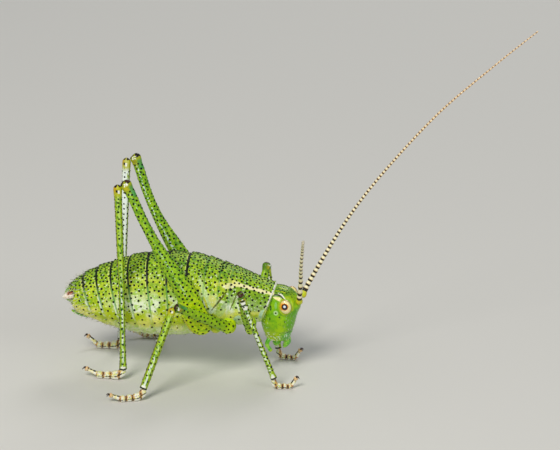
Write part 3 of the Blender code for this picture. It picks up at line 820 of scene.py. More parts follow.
def make_trunk():
    rows = trunk_rows()
    replaced = ["abdomen_tip", "abdomen_rear", "abdomen_middle", "abdomen_front",
                "metathorax", "mesothorax", "pronotum"]
    finish("trunk_skin", skin(trunk, rows, 96, behind_rim), trunk_paint(), replaced)
    span = (rows[0], rows[-1])
    rng = random.Random(11)
    marks = []
    for along, angle in roots(trunk, SPECKED, trunk_gap, 34000, seed=3):
        size = float(np.interp(math.sin(angle), [0.0, 0.4, 0.85], [0.074, 0.078, 0.074]))
        size *= rng.uniform(0.75, 1.15)
        marks.append(grown(trunk, span, along, angle, width=size, length=size * SPECK_RISE))
    for behind, s, size in ((0.06, 0.82, 0.055), (0.08, 0.30, 0.055), (0.08, 0.0, 0.065)):
        along = PRONOTUM_FRONT - behind
        for angle in (math.asin(s), math.pi - math.asin(s)):
            marks.append(grown(trunk, span, along, angle, width=size, length=size * SPECK_RISE))
    scatter("trunk_specks", dome(), marks, SPECK)
    make_trunk_hairs(span)


def make_trunk_hairs(span):
    """Short white bristles round the tail and under the belly."""
    rng = random.Random(7)
    bristles = []

    def tail_gap(station, angle):
        return 0.13 if station < -6.2 else 0.2

    def belly_gap(station, angle):
        return 0.24 if math.sin(angle) < -0.55 else 0.0

    coats = (((-6.75, -5.6), tail_gap, 0.30, 900), ((-5.6, 1.4), belly_gap, 0.19, 1800))
    for area, gap, length, tries in coats:
        for along, angle in roots(trunk, area, gap, tries, seed=5):
            bristles.append(grown(trunk, span, along, angle, turn=rng.uniform(150.0, 210.0),
                                  lean=rng.uniform(25.0, 60.0), width=0.020,
                                  length=length * rng.uniform(0.6, 1.15)))
    scatter("trunk_hairs", hair(), bristles, HAIR)


# ---- head -------------------------------------------------------------------------------
HEAD_CURVE = smooth(HEAD, 24)
HEAD_TOP = 5.10
HEAD_BOTTOM = 1.88
CROWN_CAP = 0.22                # depth of the rounded crown
CHIN_CAP = 0.15                 # and of the rounded lower edge


def head(height, angle):
    """A point of the head's skin; the angle turns from the left side to the face."""
    front, back, half = (float(np.interp(height, HEAD_CURVE[:, 0], HEAD_CURVE[:, i])) for i in (1, 2, 3))
    c, s = math.cos(angle), math.sin(angle)
    middle, radius = (front + back) / 2.0, (front - back) / 2.0
    share = 1.0
    if height > HEAD_TOP - CROWN_CAP:
        share = math.sqrt(max(0.0, 1.0 - ((height - HEAD_TOP + CROWN_CAP) / CROWN_CAP) ** 2))
    if height < HEAD_BOTTOM + CHIN_CAP:
        share = math.sqrt(max(0.0, 1.0 - ((HEAD_BOTTOM + CHIN_CAP - height) / CHIN_CAP) ** 2))
    y = half * power(c, 2.0 / HEAD_POWER)
    x = radius * power(s, 2.0 / HEAD_POWER)
    size = math.hypot(x, y)
    share *= 1.0 - (COAT + head_relief(height, middle + x, y, s)) / size
    return Vector((middle + x * share, y * share, height))


def head_relief(height, x, y, s):
    """Depth of the grooves round the mouth, with the eye sockets' and the cheeks' raised rims."""
    away = math.hypot((x - EYE_CENTRE.x) / EYE_RADII.x, (height - EYE_CENTRE.z) / EYE_RADII.z)
    depth = 0.0
    if abs(y) > 0.35:
        depth -= 0.035 * math.exp(-((away - 1.12) / 0.16) ** 2)
        depth += 0.03 * math.exp(-((away - 1.5) / 0.2) ** 2)
    brow = smoothstep(s, 0.25, 0.6)
    depth += 0.045 * brow * math.exp(-((height - 2.54) / 0.05) ** 2)
    depth += 0.03 * brow * math.exp(-((height - 2.14) / 0.05) ** 2)
    cheek = smoothstep(-s, -0.35, 0.0)
    depth += 0.03 * cheek * math.exp(-((height - 2.30) / 0.05) ** 2)
    return depth


def head_angle(x, height, side):
    """The angle at which the head's ring at a height has the X wanted."""
    low, high = -math.pi / 2.0, math.pi / 2.0
    for _ in range(30):
        middle = (low + high) / 2.0
        if head(height, middle).x < x:
            low = middle
        else:
            high = middle
    return low if side > 0 else math.pi - low


# middle X and Z, reach along X and Z, tone, strength
HEAD_PATCHES = [
    ((5.10, 4.34), (0.07, 0.20), colour(150, 210, 140), 0.50),
    ((5.10, 3.90), (0.13, 0.14), colour(190, 226, 160), 0.85),
    ((4.81, 4.17), (0.06, 0.17), colour(30, 92, 50), 0.75),
    ((6.00, 4.09), (0.05, 0.13), YELLOW_GREEN, 0.80),
    # painted highlights: the three white spots below are glints on the lower cheek
    ((4.40, 2.20), (0.05, 0.05), WHITE, 0.90),
    ((4.62, 2.42), (0.05, 0.04), WHITE, 0.90),
    ((4.72, 2.30), (0.05, 0.04), WHITE, 0.80),
    ((4.86, 2.06), (0.12, 0.05), YELLOW, 0.70),
    ((5.60, 2.42), (0.09, 0.07), ICE, 0.70),
]
# specks of a cheek: X, Z, width
CHEEK_SPECKS = [
    (5.10, 3.90, 0.05), (5.29, 3.66, 0.045), (4.75, 3.55, 0.04), (4.75, 3.46, 0.04),
    (5.56, 3.34, 0.035), (4.81, 4.24, 0.035), (4.82, 4.10, 0.035),
]


def head_paint():
    """Clear green, with a netted crown, a cream stripe under a black arc and a pale rim to the mouth."""
    paint = Paint("head_skin", roughness=0.36, coat=0.10, coat_roughness=0.16)
    at = paint.plan()
    x, y, z = paint.parts(at)
    cloud = paint.noise(at, 1.3, 3.0)
    fine = paint.noise(at, 5.5, 2.0)
    side = paint.rise(y.absolute(), 0.45, 0.6)
    tone = paint.mix(paint.rise(cloud, 0.30, 0.68), colour(116, 182, 8), colour(170, 208, 6))
    tone = paint.mix(paint.rise(fine, 0.52, 0.62) * 0.45, tone, colour(84, 150, 22))
    front = paint.rise(x + (cloud - 0.5) * 0.5, 5.45, 5.85) * paint.rise(z, 4.3, 3.7)
    tone = paint.mix(front * 0.55, tone, colour(92, 178, 34))
    tone = paint.mix(paint.rise(z, 2.70, 2.35) * paint.rise(x, 5.2, 5.45) * 0.6, tone, colour(84, 178, 70))
    low = paint.rise(z + (cloud - 0.5) * 0.8, 3.0, 2.3) * paint.rise(x, 5.3, 4.8)
    tone = paint.mix(low * 0.7, tone, colour(180, 206, 26))
    crown = paint.mix(paint.net(at, 6.0, 0.16) * 0.5, colour(112, 156, 28), NET_GREEN)
    tone = paint.mix(paint.rise(z, 4.62, 4.92) * 0.85, tone, crown)
    for middle, reach, shade, strength in HEAD_PATCHES:
        tone = paint.mix(paint.patch(at, middle, reach, 0.0, 0.3) * strength * side, tone, shade)
    rim = paint.distance(at, EYE_CENTRE, EYE_MEASURE)
    tone = paint.mix(paint.band(rim, 0.9, 1.16, 0.05) * side * 0.8, tone, colour(176, 200, 28))
    away = (z - 4.77 + 0.26 * (x - 4.92)).absolute()
    wedge = away - 0.09 * paint.rise(x, 4.80, 5.25)
    stripe = paint.rise(wedge, 0.02, -0.02) * paint.rise(x, 5.40, 5.28)
    tone = paint.mix(stripe * side, tone, CREAM)
    arc = z - 4.885 + 1.1 * (x - 5.1) * (x - 5.1)
    black_arc = paint.band(arc, -0.036, 0.026, 0.010) * paint.band(x, 4.82, 5.52, 0.05)
    tone = paint.mix(black_arc * side, tone, BLACK)
    white_arc = paint.band(arc, 0.035, 0.095, 0.012) * paint.band(x, 5.20, 5.6, 0.06)
    tone = paint.mix(white_arc * side, tone, WHITE)
    for middle, shade in ((0.42, colour(186, 206, 20)), (0.34, NET_GREEN), (0.14, YELLOW_GREEN)):
        line = paint.band(y.absolute(), middle - 0.03, middle + 0.03, 0.012) * paint.rise(z, 4.80, 4.90)
        tone = paint.mix(line * paint.rise(x, 5.7, 5.5) * paint.rise(fine, 0.36, 0.46), tone, shade)
    edge = paint.band(z + 0.16 * (x - 4.6).absolute(), 2.00, 2.16, 0.03) * paint.rise(x, 5.35, 5.1)
    tone = paint.mix(edge * paint.rise(fine, 0.42, 0.52) * 0.9, tone, colour(224, 240, 180))
    border = paint.rise(z, 2.7, 2.4) + paint.rise(x, 4.70, 4.50) * paint.rise(z, 3.9, 3.5)
    shine = border * paint.rise(paint.noise(at, 8.0, 1.0), 0.60, 0.64)
    tone = paint.mix(shine * 0.8, tone, colour(228, 244, 214))
    crease = paint.band(z, 2.50, 2.58, 0.02) * paint.rise(x, 5.3, 5.6)
    tone = paint.mix(crease * 0.5, tone, NET_GREEN)
    paint.set("Base Color", tone)
    paint.set("Roughness", 0.26 + 0.25 * fine)
    paint.bump(fine + paint.rise(paint.cells(at, 9.0), 0.1, 0.5) * 0.4, 0.03, 0.6)
    return paint.material


def make_head():
    rows = spread(HEAD_BOTTOM, HEAD_BOTTOM + CHIN_CAP, 6)[1:]
    rows += spread(HEAD_BOTTOM + 0.19, HEAD_TOP - 0.24, 66)
    for share in spread(0.08, 0.98, 8):
        rows.append(HEAD_TOP - CROWN_CAP * (1.0 - math.sin(math.pi / 2.0 * share)))
    finish("head_skin", skin(head, rows, 84), head_paint(), ["head"], HEAD_POSE)
    span = (rows[0], rows[-1])
    marks = []
    for side in SIDES.values():
        for x, z, size in CHEEK_SPECKS:
            marks.append(grown(head, span, z, head_angle(x, z, side), width=size * 1.2, length=size))

    def crown_gap(height, angle):
        on_stripe = abs(head(height, angle).y) > 0.4 and height < 4.88
        return 0.15 if height > 4.66 and not on_stripe else 0.0

    for z, angle in roots(head, (4.62, 5.06), crown_gap, 1400, seed=8):
        marks.append(grown(head, span, z, angle, width=0.044, length=0.045))
    scatter("head_specks", dome(), marks, SPECK, HEAD_POSE)
    make_face_hairs(span)
    make_mouth()
    for name, side in SIDES.items():
        make_eye(name, side)


def make_face_hairs(span):
    """Fine bristles down the face and round the mouth."""
    rng = random.Random(21)

    def face_gap(height, angle):
        return 0.17 if math.sin(angle) > 0.45 or height < 2.4 else 0.0

    bristles = []
    for z, angle in roots(head, (2.0, 4.0), face_gap, 900, seed=13):
        bristles.append(grown(head, span, z, angle, turn=rng.uniform(150.0, 210.0),
                              lean=rng.uniform(30.0, 60.0), width=0.014, length=rng.uniform(0.07, 0.13)))
    scatter("face_hairs", hair(), bristles, HAIR, HEAD_POSE)


def eye_paint(side):
    """Cream, amber behind and above, with a ringed black pupil and a painted highlight in it."""
    paint = Paint("eye", roughness=0.12, coat=1.0, coat_roughness=0.03)
    at = paint.plan()
    speckle = paint.noise(at, 14.0, 2.0)
    away = paint.distance(at, mirrored(EYE_CENTRE + PUPIL, side)) + (speckle - 0.5) * 0.05
    upper = paint.distance(at, mirrored(EYE_CENTRE + Vector((-0.22, 0.2, 0.10)), side))
    tone = paint.mix(paint.rise(speckle, 0.3, 0.7), colour(244, 226, 130), colour(252, 242, 186))
    tone = paint.mix(paint.rise(upper, 0.32, 0.12) * 0.9, tone, colour(248, 168, 8))
    tone = paint.mix(paint.rise(away, 0.235, 0.190) * 0.95, tone, colour(232, 124, 4))
    tone = paint.mix(paint.rise(away, 0.185, 0.165), tone, colour(2, 1, 2))
    # painted highlight: a bluish-white glint in the middle of the pupil
    glint = paint.distance(at, mirrored(EYE_CENTRE + PUPIL + Vector((0.0, 0.0, 0.025)), side))
    tone = paint.mix(paint.rise(glint, 0.085, 0.060), tone, colour(236, 240, 250))
    edge = paint.distance(at, EYE_CENTRE, EYE_MEASURE)
    tone = paint.mix(paint.rise(edge, 0.90, 0.99) * 0.8, tone, colour(150, 84, 16))
    paint.set("Base Color", tone)
    paint.bump(paint.cells(at, 26.0, jitter=0.3), 0.006, 0.35)
    return paint.material


def make_eye(name, side):
    bm = bmesh.new()
    bmesh.ops.create_icosphere(bm, subdivisions=5, radius=1.0)
    bmesh.ops.scale(bm, vec=EYE_RADII - Vector((EYE_INSET, EYE_INSET, EYE_INSET)), verts=bm.verts)
    bmesh.ops.translate(bm, vec=mirrored(EYE_CENTRE, side), verts=bm.verts)
    plan = bm.verts.layers.float_vector.new("plan")
    for vert in bm.verts:
        vert[plan] = vert.co
    finish("eye_ball_" + name, bm, eye_paint(side), ["eye_" + name], HEAD_POSE)


# ---- limbs ------------------------------------------------------------------------------
class Limb:
    """A limb's skin round a curved centre line, with its own sideways and upward directions."""

    def __init__(self, stations, across, side=1.0, shape=None, round_start=0.0, round_end=0.0, inset=COAT):
        self.rows = smooth(stations, 16)
        steps = np.linalg.norm(np.diff(self.rows[:, :3], axis=0), axis=1)
        self.runs = np.concatenate([[0.0], np.cumsum(steps)])
        self.length = float(self.runs[-1])
        self.across = Vector(across)
        self.side = side
        self.shape = shape
        self.round_start = round_start
        self.round_end = round_end
        self.inset = inset

    @functools.lru_cache(maxsize=4096)
    def section(self, along):
        """The middle, the two directions across, the width and the height at a distance along."""
        values = [float(np.interp(along, self.runs, self.rows[:, i])) for i in range(self.rows.shape[1])]
        ahead = [float(np.interp(along + 0.05, self.runs, self.rows[:, i])) for i in range(3)]
        behind = [float(np.interp(along - 0.05, self.runs, self.rows[:, i])) for i in range(3)]
        tangent = (Vector(ahead) - Vector(behind)).normalized()
        across = (self.across - tangent * self.across.dot(tangent)).normalized()
        upward = tangent.cross(across) * -self.side
        return Vector(values[:3]), across, upward, values[3], values[4]

    def __call__(self, along, angle):
        centre, across, upward, width, height = self.section(along)
        c, s = math.cos(angle), math.sin(angle)
        depth = self.inset - (self.shape(along, self.length - along, c, s) if self.shape else 0.0)
        share = 1.0
        if along < self.round_start:
            share = math.sqrt(max(0.0, 1.0 - (1.0 - along / self.round_start) ** 2))
        if self.length - along < self.round_end:
            share = math.sqrt(max(0.0, 1.0 - (1.0 - (self.length - along) / self.round_end) ** 2))
        x = (width / 2.0 - depth) * c * share
        y = (height / 2.0 - depth) * s * share
        return centre + across * x + upward * y

    def spaced(self, gap):
        """Rows along the limb, closer together at its round ends."""
        rows = spread(0.02, self.length - 0.02, max(4, round(self.length / gap)))
        for share in (0.04, 0.12, 0.25, 0.45, 0.7):
            if self.round_start:
                rows.append(self.round_start * share)
            if self.round_end:
                rows.append(self.length - self.round_end * share)
        return sorted(set(round(row, 4) for row in rows))


def limb_stations(start, end, profile, bow=0.0, bow_way=Vector(), swell=0.0, more=(0.0, 0.0)):
    """Rings along a limb, which may run a little past its start and end."""
    way = (end - start).normalized()
    outward = SIDEWAYS * math.copysign(1.0, end.y)
    rows = []
    for part, width, height, sag in profile:
        centre = start.lerp(end, part) + bow_way * (bow * math.sin(math.pi * part) + sag)
        centre += outward * (swell * math.sin(math.pi * part ** 0.6))
        rows.append((*centre, width, height))
    if more[0]:
        first = Vector(rows[0][:3]) - way * more[0]
        rows.insert(0, (*first, *(0.7 * size for size in rows[0][3:])))
    if more[1]:
        last = Vector(rows[-1][:3]) + way * more[1]
        rows.append((*last, *rows[-1][3:]))
    return rows


def femur_shape(start, end, c, s):
    """Keels along the outer face, a waist before the knee and the knee's lobes."""
    keel = 0.014 * math.exp(-((s + 0.40) / 0.10) ** 2)
    keel += 0.012 * math.exp(-((s - 0.62) / 0.10) ** 2)
    keel += 0.012 * math.exp(-((s + 0.80) / 0.08) ** 2)
    knee = 0.020 * math.exp(-((end - 0.26) / 0.16) ** 2) - 0.016 * math.exp(-((end - 0.62) / 0.15) ** 2)
    return keel * smoothstep(end, 0.3, 1.0) * smoothstep(start, 0.2, 0.9) + knee


def tibia_shape(start, end, c, s):
    """A nearly square shaft with a keel at each corner."""
    corner = abs(2.0 * s * c)
    shaft = smoothstep(start, 0.3, 0.7) * smoothstep(end, 0.2, 0.5)
    return (0.016 * corner ** 3 - 0.006) * shaft


def limb_paint(name, hind, part, turn=0.0):
    """The paint of a femur, tibia or coxa: green, with its own marks at the joint. The marks of a
    tibia lie round it by turn degrees, where its outer face is."""
    paint = Paint(name, roughness=0.38, coat=0.12, coat_roughness=0.18)
    at = paint.place()
    cloud = paint.noise(at, 1.3, 3.0)
    fine = paint.noise(at, 6.0, 2.0)
    _, up, _ = paint.attribute("lie")
    if part == "femur":
        tone = femur_tone(paint, at, cloud, fine, hind)
    elif part in ("tibia", "banded"):
        tone = tibia_tone(paint, at, fine, hind, part == "banded", math.radians(turn))
    else:
        tone = paint.mix(paint.rise(cloud, 0.38, 0.6), colour(160, 206, 0), colour(200, 228, 0))
        tone = paint.mix(paint.rise(up, -0.55, -0.95) * 0.8, tone, colour(214, 218, 60))
        tone = paint.mix(paint.band(up, 0.10, 0.34, 0.08) * 0.5, tone, colour(84, 140, 20))
    paint.set("Base Color", tone)
    paint.set("Roughness", 0.30 + 0.25 * fine)
    paint.bump(paint.noise(at, 8.0, 2.0), 0.03, 0.6)
    return paint.material


def femur_tone(paint, at, cloud, fine, hind):
    """A netted green with a fresh yellow base; the hind one carries painted glints of highlight, with pale
    keels.
    """
    across, up, _ = paint.attribute("lie")
    start, end, share = paint.attribute("run")
    tone = paint.mix(paint.rise(fine, 0.36, 0.60), colour(92, 150, 18), colour(158, 202, 20))
    tone = paint.mix(paint.net(at, 6.0, 0.15) * 0.25, tone, NET_GREEN)
    if not hind:
        tone = paint.mix(0.5, tone, colour(160, 200, 8))
        tone = paint.mix(paint.rise(start, 0.95, 0.35) * 0.85, tone, colour(192, 224, 0))
        return knee_marks(paint, tone, up, end, fine, hind)
    inner = paint.rise(across, 0.1, -0.3)
    lobe = paint.rise(share + (cloud - 0.5) * 0.10, 0.42, 0.14)
    fresh = paint.mix(paint.rise(fine, 0.36, 0.6), colour(156, 202, 0), colour(210, 232, 0))
    tone = paint.mix(lobe, tone, fresh)
    keel = paint.band(up, -0.62, -0.44, 0.06) * paint.band(share, 0.20, 0.93, 0.05)
    tone = paint.mix(keel * 0.5, tone, colour(168, 202, 40))
    # painted highlights: white glints down the middle of the femur, strongest on its inner face
    painted_glints = paint.band(up, -0.15, 0.15, 0.10) * paint.band(share, 0.26, 0.96, 0.06)
    painted_glints = painted_glints * paint.rise(paint.noise(at, 9.0, 1.0) + inner * 0.05, 0.54, 0.60)
    tone = paint.mix(painted_glints * (0.35 + 0.6 * inner), tone, colour(222, 240, 236))
    rim = paint.rise(share, 0.20, 0.12) * paint.rise(up, -0.72, -0.93)
    tone = paint.mix(rim * 0.8, tone, colour(206, 196, 40))
    return knee_marks(paint, tone, up, end, fine, hind)


def knee_marks(paint, tone, up, end, fine, hind):
    """The knee: ochre with a teal back, dark rims over its end and small white spots."""
    size = 1.0 if hind else 0.8
    near = end + (fine - 0.5) * 0.10
    base = colour(166, 172, 20) if hind else colour(72, 116, 20)
    tone = paint.mix(paint.rise(near, 0.85 * size, 0.45 * size) * 0.85, tone, base)
    side = paint.band(near, 0.24 * size, 0.50 * size, 0.06) * paint.band(up, -0.60, 0.20, 0.15)
    ochre = paint.mix(paint.rise(fine, 0.50, 0.60), colour(190, 184, 20), colour(150, 150, 24))
    tone = paint.mix(side * 0.9, tone, ochre)
    teal = paint.band(near, 0.34 * size, 0.95 * size, 0.10) * paint.rise(up, 0.20, 0.5)
    tone = paint.mix(teal * 0.75, tone, colour(44, 150, 78))
    rim = paint.rise(near, 0.20 * size ** 3, 0.15 * size ** 3)
    dark = paint.rise(up.absolute() + (fine - 0.5) * 1.4, 0.25, 0.5)
    tone = paint.mix(rim * dark, tone, paint.mix(paint.rise(fine, 0.46, 0.54), BLACK, colour(66, 34, 10)))
    tip = paint.rise(near, 0.085, 0.055) * paint.rise(paint.noise(paint.place(), 7.0, 1.0), 0.52, 0.44)
    tone = paint.mix(tip * 0.9, tone, colour(66, 36, 8))
    white = paint.band(near, 0.10 * size, 0.26 * size, 0.02) * paint.band(up, -0.40, 0.42, 0.06)
    white = white * paint.rise(paint.noise(paint.place(), 9.0, 1.0), 0.46, 0.52)
    return paint.mix(white, tone, WHITE)


# rings below a front knee: start, end, tone
FRONT_RINGS = [(0.34, 0.46, BLACK), (0.46, 0.62, WHITE), (0.62, 0.72, BLACK), (0.74, 0.96, WHITE)]


def tibia_tone(paint, at, fine, hind, banded, turn):
    """Green with yellow edges and pale streaks that are partly painted glints, white down its inner face and
    at both ends.
    """
    wide, high, _ = paint.attribute("lie")
    across = wide * math.cos(turn) + high * math.sin(turn)
    up = high * math.cos(turn) - wide * math.sin(turn)
    start, end, share = paint.attribute("run")
    streaks = paint.noise(at, 4.0, 2.0, (2.6, 2.6, 0.55))
    tone = paint.mix(paint.rise(fine, 0.42, 0.56), colour(78, 138, 24), colour(168, 206, 40))
    edge = paint.rise(up.absolute() + (fine - 0.5) * 0.3, 0.44, 0.62)
    tone = paint.mix(edge * 0.9, tone, colour(150, 176, 6))
    rust = paint.rise(up + (streaks - 0.5) * 0.8, 0.66, 0.86) * paint.rise(fine, 0.44, 0.52)
    tone = paint.mix(rust * 0.7, tone, colour(96, 62, 14))
    inner = paint.rise(across, 0.1, -0.3)
    # pale streaks: partly the skin's own pale and partly painted glints of highlight
    pale = paint.band(up, -0.36, 0.28, 0.10).most(inner * paint.band(up, -0.85, 0.72, 0.08))
    pale = pale * paint.rise(streaks + inner * 0.12, 0.45, 0.51)
    lower = paint.rise(share, 0.45, 0.60)
    # painted highlights: a column of white glints down the lower half
    glint_column = lower * paint.band(up, -0.34, 0.12, 0.08) * paint.rise(streaks, 0.42, 0.47)
    pale = pale.most(glint_column)
    shade = paint.mix(inner.most(lower * 0.75), colour(186, 216, 104), colour(238, 246, 240))
    if banded:
        pale = paint.band(up, -0.56, 0.46, 0.12) * paint.rise(paint.noise(at, 5.0, 1.0), 0.46, 0.52)
        shade = colour(226, 240, 214)
    tone = paint.mix(pale * 0.95, tone, shade)
    size = 1.0 if hind else 0.75
    near = start + (fine - 0.5) * 0.1
    tone = paint.mix(paint.rise(near, 0.80 * size, 0.44 * size) * 0.9, tone, colour(184, 186, 14))
    amber = paint.rise(near, 0.50 * size, 0.26 * size) * paint.rise(up, 0.0, 0.6)
    tone = paint.mix(amber * 0.7, tone, colour(196, 150, 16))
    white = paint.band(near, 0.26 * size, 0.44 * size, 0.03) * paint.band(up, -0.45, 0.02, 0.06)
    tone = paint.mix(white, tone, WHITE)
    spot = paint.band(near, 0.24 * size, 0.38 * size, 0.03) * paint.band(up, 0.0, 0.45, 0.06)
    tone = paint.mix(spot, tone, BLACK)
    rim = paint.rise(near, 0.13 * size, 0.09 * size)
    rim = rim * paint.rise(up.absolute() + (fine - 0.5) * 1.2, 0.2, 0.5)
    tone = paint.mix(rim, tone, colour(40, 22, 8))
    if banded:
        for low, high, mark in FRONT_RINGS:
            ring = paint.band(near, low, high, 0.02) * paint.rise(up.absolute() + (fine - 0.5), 0.9, 0.6)
            tone = paint.mix(ring * 0.95, tone, mark)
    ankle = end + (fine - 0.5) * 0.05
    collar = paint.band(ankle, 0.08, 0.20, 0.025) * paint.rise(up.absolute(), 0.75, 0.5)
    tone = paint.mix(collar, tone, WHITE)
    rim = paint.band(ankle, -0.05, 0.08, 0.02) * paint.rise(across.absolute(), 0.1, 0.4)
    return paint.mix(rim, tone, BLACK)


def foot_paint():
    """Creamy pads with dark joints, a dark seam and white soles."""
    paint = Paint("foot", roughness=0.36, coat=0.35, coat_roughness=0.16)
    at = paint.place()
    _, up, joint = paint.attribute("lie")
    fine = paint.noise(at, 6.0, 2.0)
    spots = paint.noise(at, 11.0, 2.0)
    tone = paint.mix(paint.rise(fine, 0.4, 0.6), CREAM, colour(206, 216, 132))
    tone = paint.mix(paint.rise(spots, 0.46, 0.54) * 0.95, tone, WHITE)
    joint = joint + (fine - 0.5) * 0.22
    tone = paint.mix(paint.rise(joint, 0.12, 0.06) * 0.8, tone, colour(206, 146, 50))
    groove = paint.mix(paint.rise(up + (spots - 0.5) * 1.6, 0.10, 0.35), BLACK, colour(96, 50, 16))
    tone = paint.mix(paint.rise(joint, 0.036, 0.016), tone, groove)
    pad = paint.rise(up, -0.14, -0.30) * paint.rise(joint, 0.05, 0.09)
    tone = paint.mix(pad, tone, WHITE)
    seam = paint.band(up, -0.20, 0.04, 0.05) * paint.rise(spots, 0.42, 0.50)
    tone = paint.mix(seam * 0.95, tone, BLACK)
    tone = paint.mix(paint.band(up, 0.35, 0.62, 0.08) * paint.rise(spots, 0.56, 0.60) * 0.8, tone, BROWN)
    paint.set("Base Color", tone)
    paint.bump(fine, 0.03, 0.5)
    return paint.material


def toe_paint():
    paint = Paint("toe", roughness=0.36, coat=0.35, coat_roughness=0.16)
    at = paint.place()
    _, up, _ = paint.attribute("lie")
    start, end, _ = paint.attribute("run")
    fine = paint.noise(at, 8.0, 2.0)
    tone = paint.mix(paint.rise(fine, 0.42, 0.56), CREAM, WHITE)
    tone = paint.mix(paint.rise(up, -0.45, -0.75) * paint.rise(fine, 0.38, 0.48), tone, BLACK)
    tone = paint.mix(paint.rise(start, 0.12, 0.06) * 0.9, tone, ORANGE)
    tone = paint.mix(paint.band(end, 0.15, 0.21, 0.02) * 0.7, tone, colour(150, 92, 36))
    tone = paint.mix(paint.rise(end, 0.15, 0.09), tone, colour(232, 190, 132))
    paint.set("Base Color", tone)
    paint.bump(fine, 0.02, 0.5)
    return paint.material


def near_joint(scale):
    """Distance along a foot to its nearest joint."""
    return lambda along: min(abs(along - joint * scale) for joint in FOOT_JOINTS)


class Foot:
    """A foot's skin from its ankle to the last of its three pads, with flat soles on the ground."""

    def __init__(self, ankle, side, sizes):
        heading = math.radians(sizes["heading"]) * side
        scale = sizes["foot"]
        self.ankle = Vector((ankle.x, ankle.y, 0.0))
        self.along = Vector((math.cos(heading), math.sin(heading), 0.0))
        self.across = Vector((-self.along.y, self.along.x, 0.0))
        rows = [(distance * scale, low * scale, high * scale, width * scale ** 0.5)
                for distance, low, high, width in FOOT]
        for number, drop in ((0, 0.02), (1, 0.0), (2, 0.10)):
            distance, low, high, width = rows[number]
            rows[number] = (distance, low, max(high, ankle.z - drop), width)
        self.rows = smooth(rows, 8)
        self.start = float(self.rows[0, 0])
        self.end = float(self.rows[-1, 0])
        tip, low, high, _ = self.rows[-1]
        root_height = (low + high) / 2.0
        end_height = 0.30 * scale + sizes["rise"]
        self.toe_root = self.ankle + self.along * (tip - 0.12 * scale) + UPWARD * root_height
        self.toe_end = self.ankle + self.along * (tip + sizes["toe"]) + UPWARD * end_height

    def __call__(self, along, angle):
        low, high, width = (float(np.interp(along, self.rows[:, 0], self.rows[:, i])) for i in (1, 2, 3))
        low = max(low, 0.0)
        c, s = math.cos(angle), math.sin(angle)
        share = 1.0
        cap = min(along - self.start, self.end - along)
        if cap < FOOT_CAP:
            share = math.sqrt(max(0.0, 1.0 - (1.0 - cap / FOOT_CAP) ** 2))
        middle = (low + high) / 2.0
        x = (width / 2.0 - COAT) * power(c, 2.0 / FOOT_POWER) * share
        z = middle + ((high - low) / 2.0 - 0.005) * power(s, 2.0 / FOOT_POWER) * share
        return self.ankle + self.along * along + self.across * x + UPWARD * max(z, SOLE)


def make_toe(name, foot):
    """The foot's slim last joint, which climbs from the pads and ends in a bulb."""
    run = foot.toe_end - foot.toe_root
    stations = [(*(foot.toe_root + run * part), width, width) for part, width in TOE]
    toe = Limb(stations, foot.across, round_start=0.06, round_end=0.08, inset=0.0)
    finish("toe_" + name, skin(toe, toe.spaced(0.03), 16), PAINTS["toe"])


def make_claws(name, foot):
    """Two thin curved claws that spread from the end of the foot."""
    bm = bmesh.new()
    for side in SIDES.values():
        stations = []
        for part, climb, width in CLAW_SHAPE:
            centre = foot.toe_end + foot.along * (0.20 * part - 0.04)
            centre += foot.across * (side * (0.04 + 0.09 * part))
            stations.append((*(centre + UPWARD * climb), width, width))
        claw = Limb(stations, foot.across, inset=0.0)
        horn = skin(claw, claw.spaced(0.03), 8)
        mesh = bpy.data.meshes.new("horn")
        horn.to_mesh(mesh)
        horn.free()
        bm.from_mesh(mesh)
        bpy.data.meshes.remove(mesh)
    finish("claws_" + name, bm, CLAW, [name + "_claws"])


def make_leg(name, sizes):
    """One leg from its coxa to its claws. The knee's plane gives its limbs their sideways direction."""
    pair, side_name = name.split("_")
    side = SIDES[side_name]
    hind = pair == "hind"
    root, hip, knee, ankle = (mirrored(sizes[key], side) for key in ("root", "hip", "knee", "ankle"))
    shin = mirrored(sizes["shin"], side) if sizes["shin"] else knee
    plane = (knee - hip).cross(ankle - shin).normalized()
    across = plane if plane.y * side > 0.0 else -plane
    back = plane.cross((knee - hip).normalized())
    bow_way = back if back.x < 0 else -back
    sides = 32 if hind else 24

    coxa = Limb(limb_stations(root, hip, COXAE[pair]), FORWARD, side, round_end=0.25)
    finish("coxa_" + name, skin(coxa, coxa.spaced(0.06), 28), PAINTS["coxa"], [name + "_coxa"])

    swell, overrun = (HIND_SWELL, 0.0) if hind else (0.0, HIP_OVERRUN)
    stations = limb_stations(hip, knee, FEMORA[pair], sizes["arch"], bow_way, swell, (overrun, KNEE_OVERRUN))
    femur = Limb(stations, across, side, femur_shape, 0.3, 0.22)
    paint = PAINTS["hind_femur" if hind else "short_femur"]
    finish("femur_" + name, skin(femur, femur.spaced(0.08), sides), paint, [name + "_femur"])

    overrun = 0.20 if sizes["shin"] else 0.10
    stations = limb_stations(shin, ankle, TIBIAE[pair], sizes["bow"], bow_way, 0.0, (overrun, 0.04))
    tibia = Limb(stations, across, side, tibia_shape, 0.2, 0.0)
    paint = PAINTS[pair + "_tibia"]
    finish("tibia_" + name, skin(tibia, tibia.spaced(0.08), sides), paint, [name + "_tibia"])

    foot = Foot(ankle, side, sizes)
    rows = spread(foot.start + 0.02, foot.end - 0.02, 60) + [foot.start + 0.005, foot.end - 0.005]
    surface = skin(foot, sorted(rows), 28, near_joint(sizes["foot"]))
    finish("foot_" + name, surface, PAINTS["foot"], [name + "_tarsus"])
    make_toe(name, foot)
    make_claws(name, foot)
    make_leg_specks(name, femur, tibia, hind)


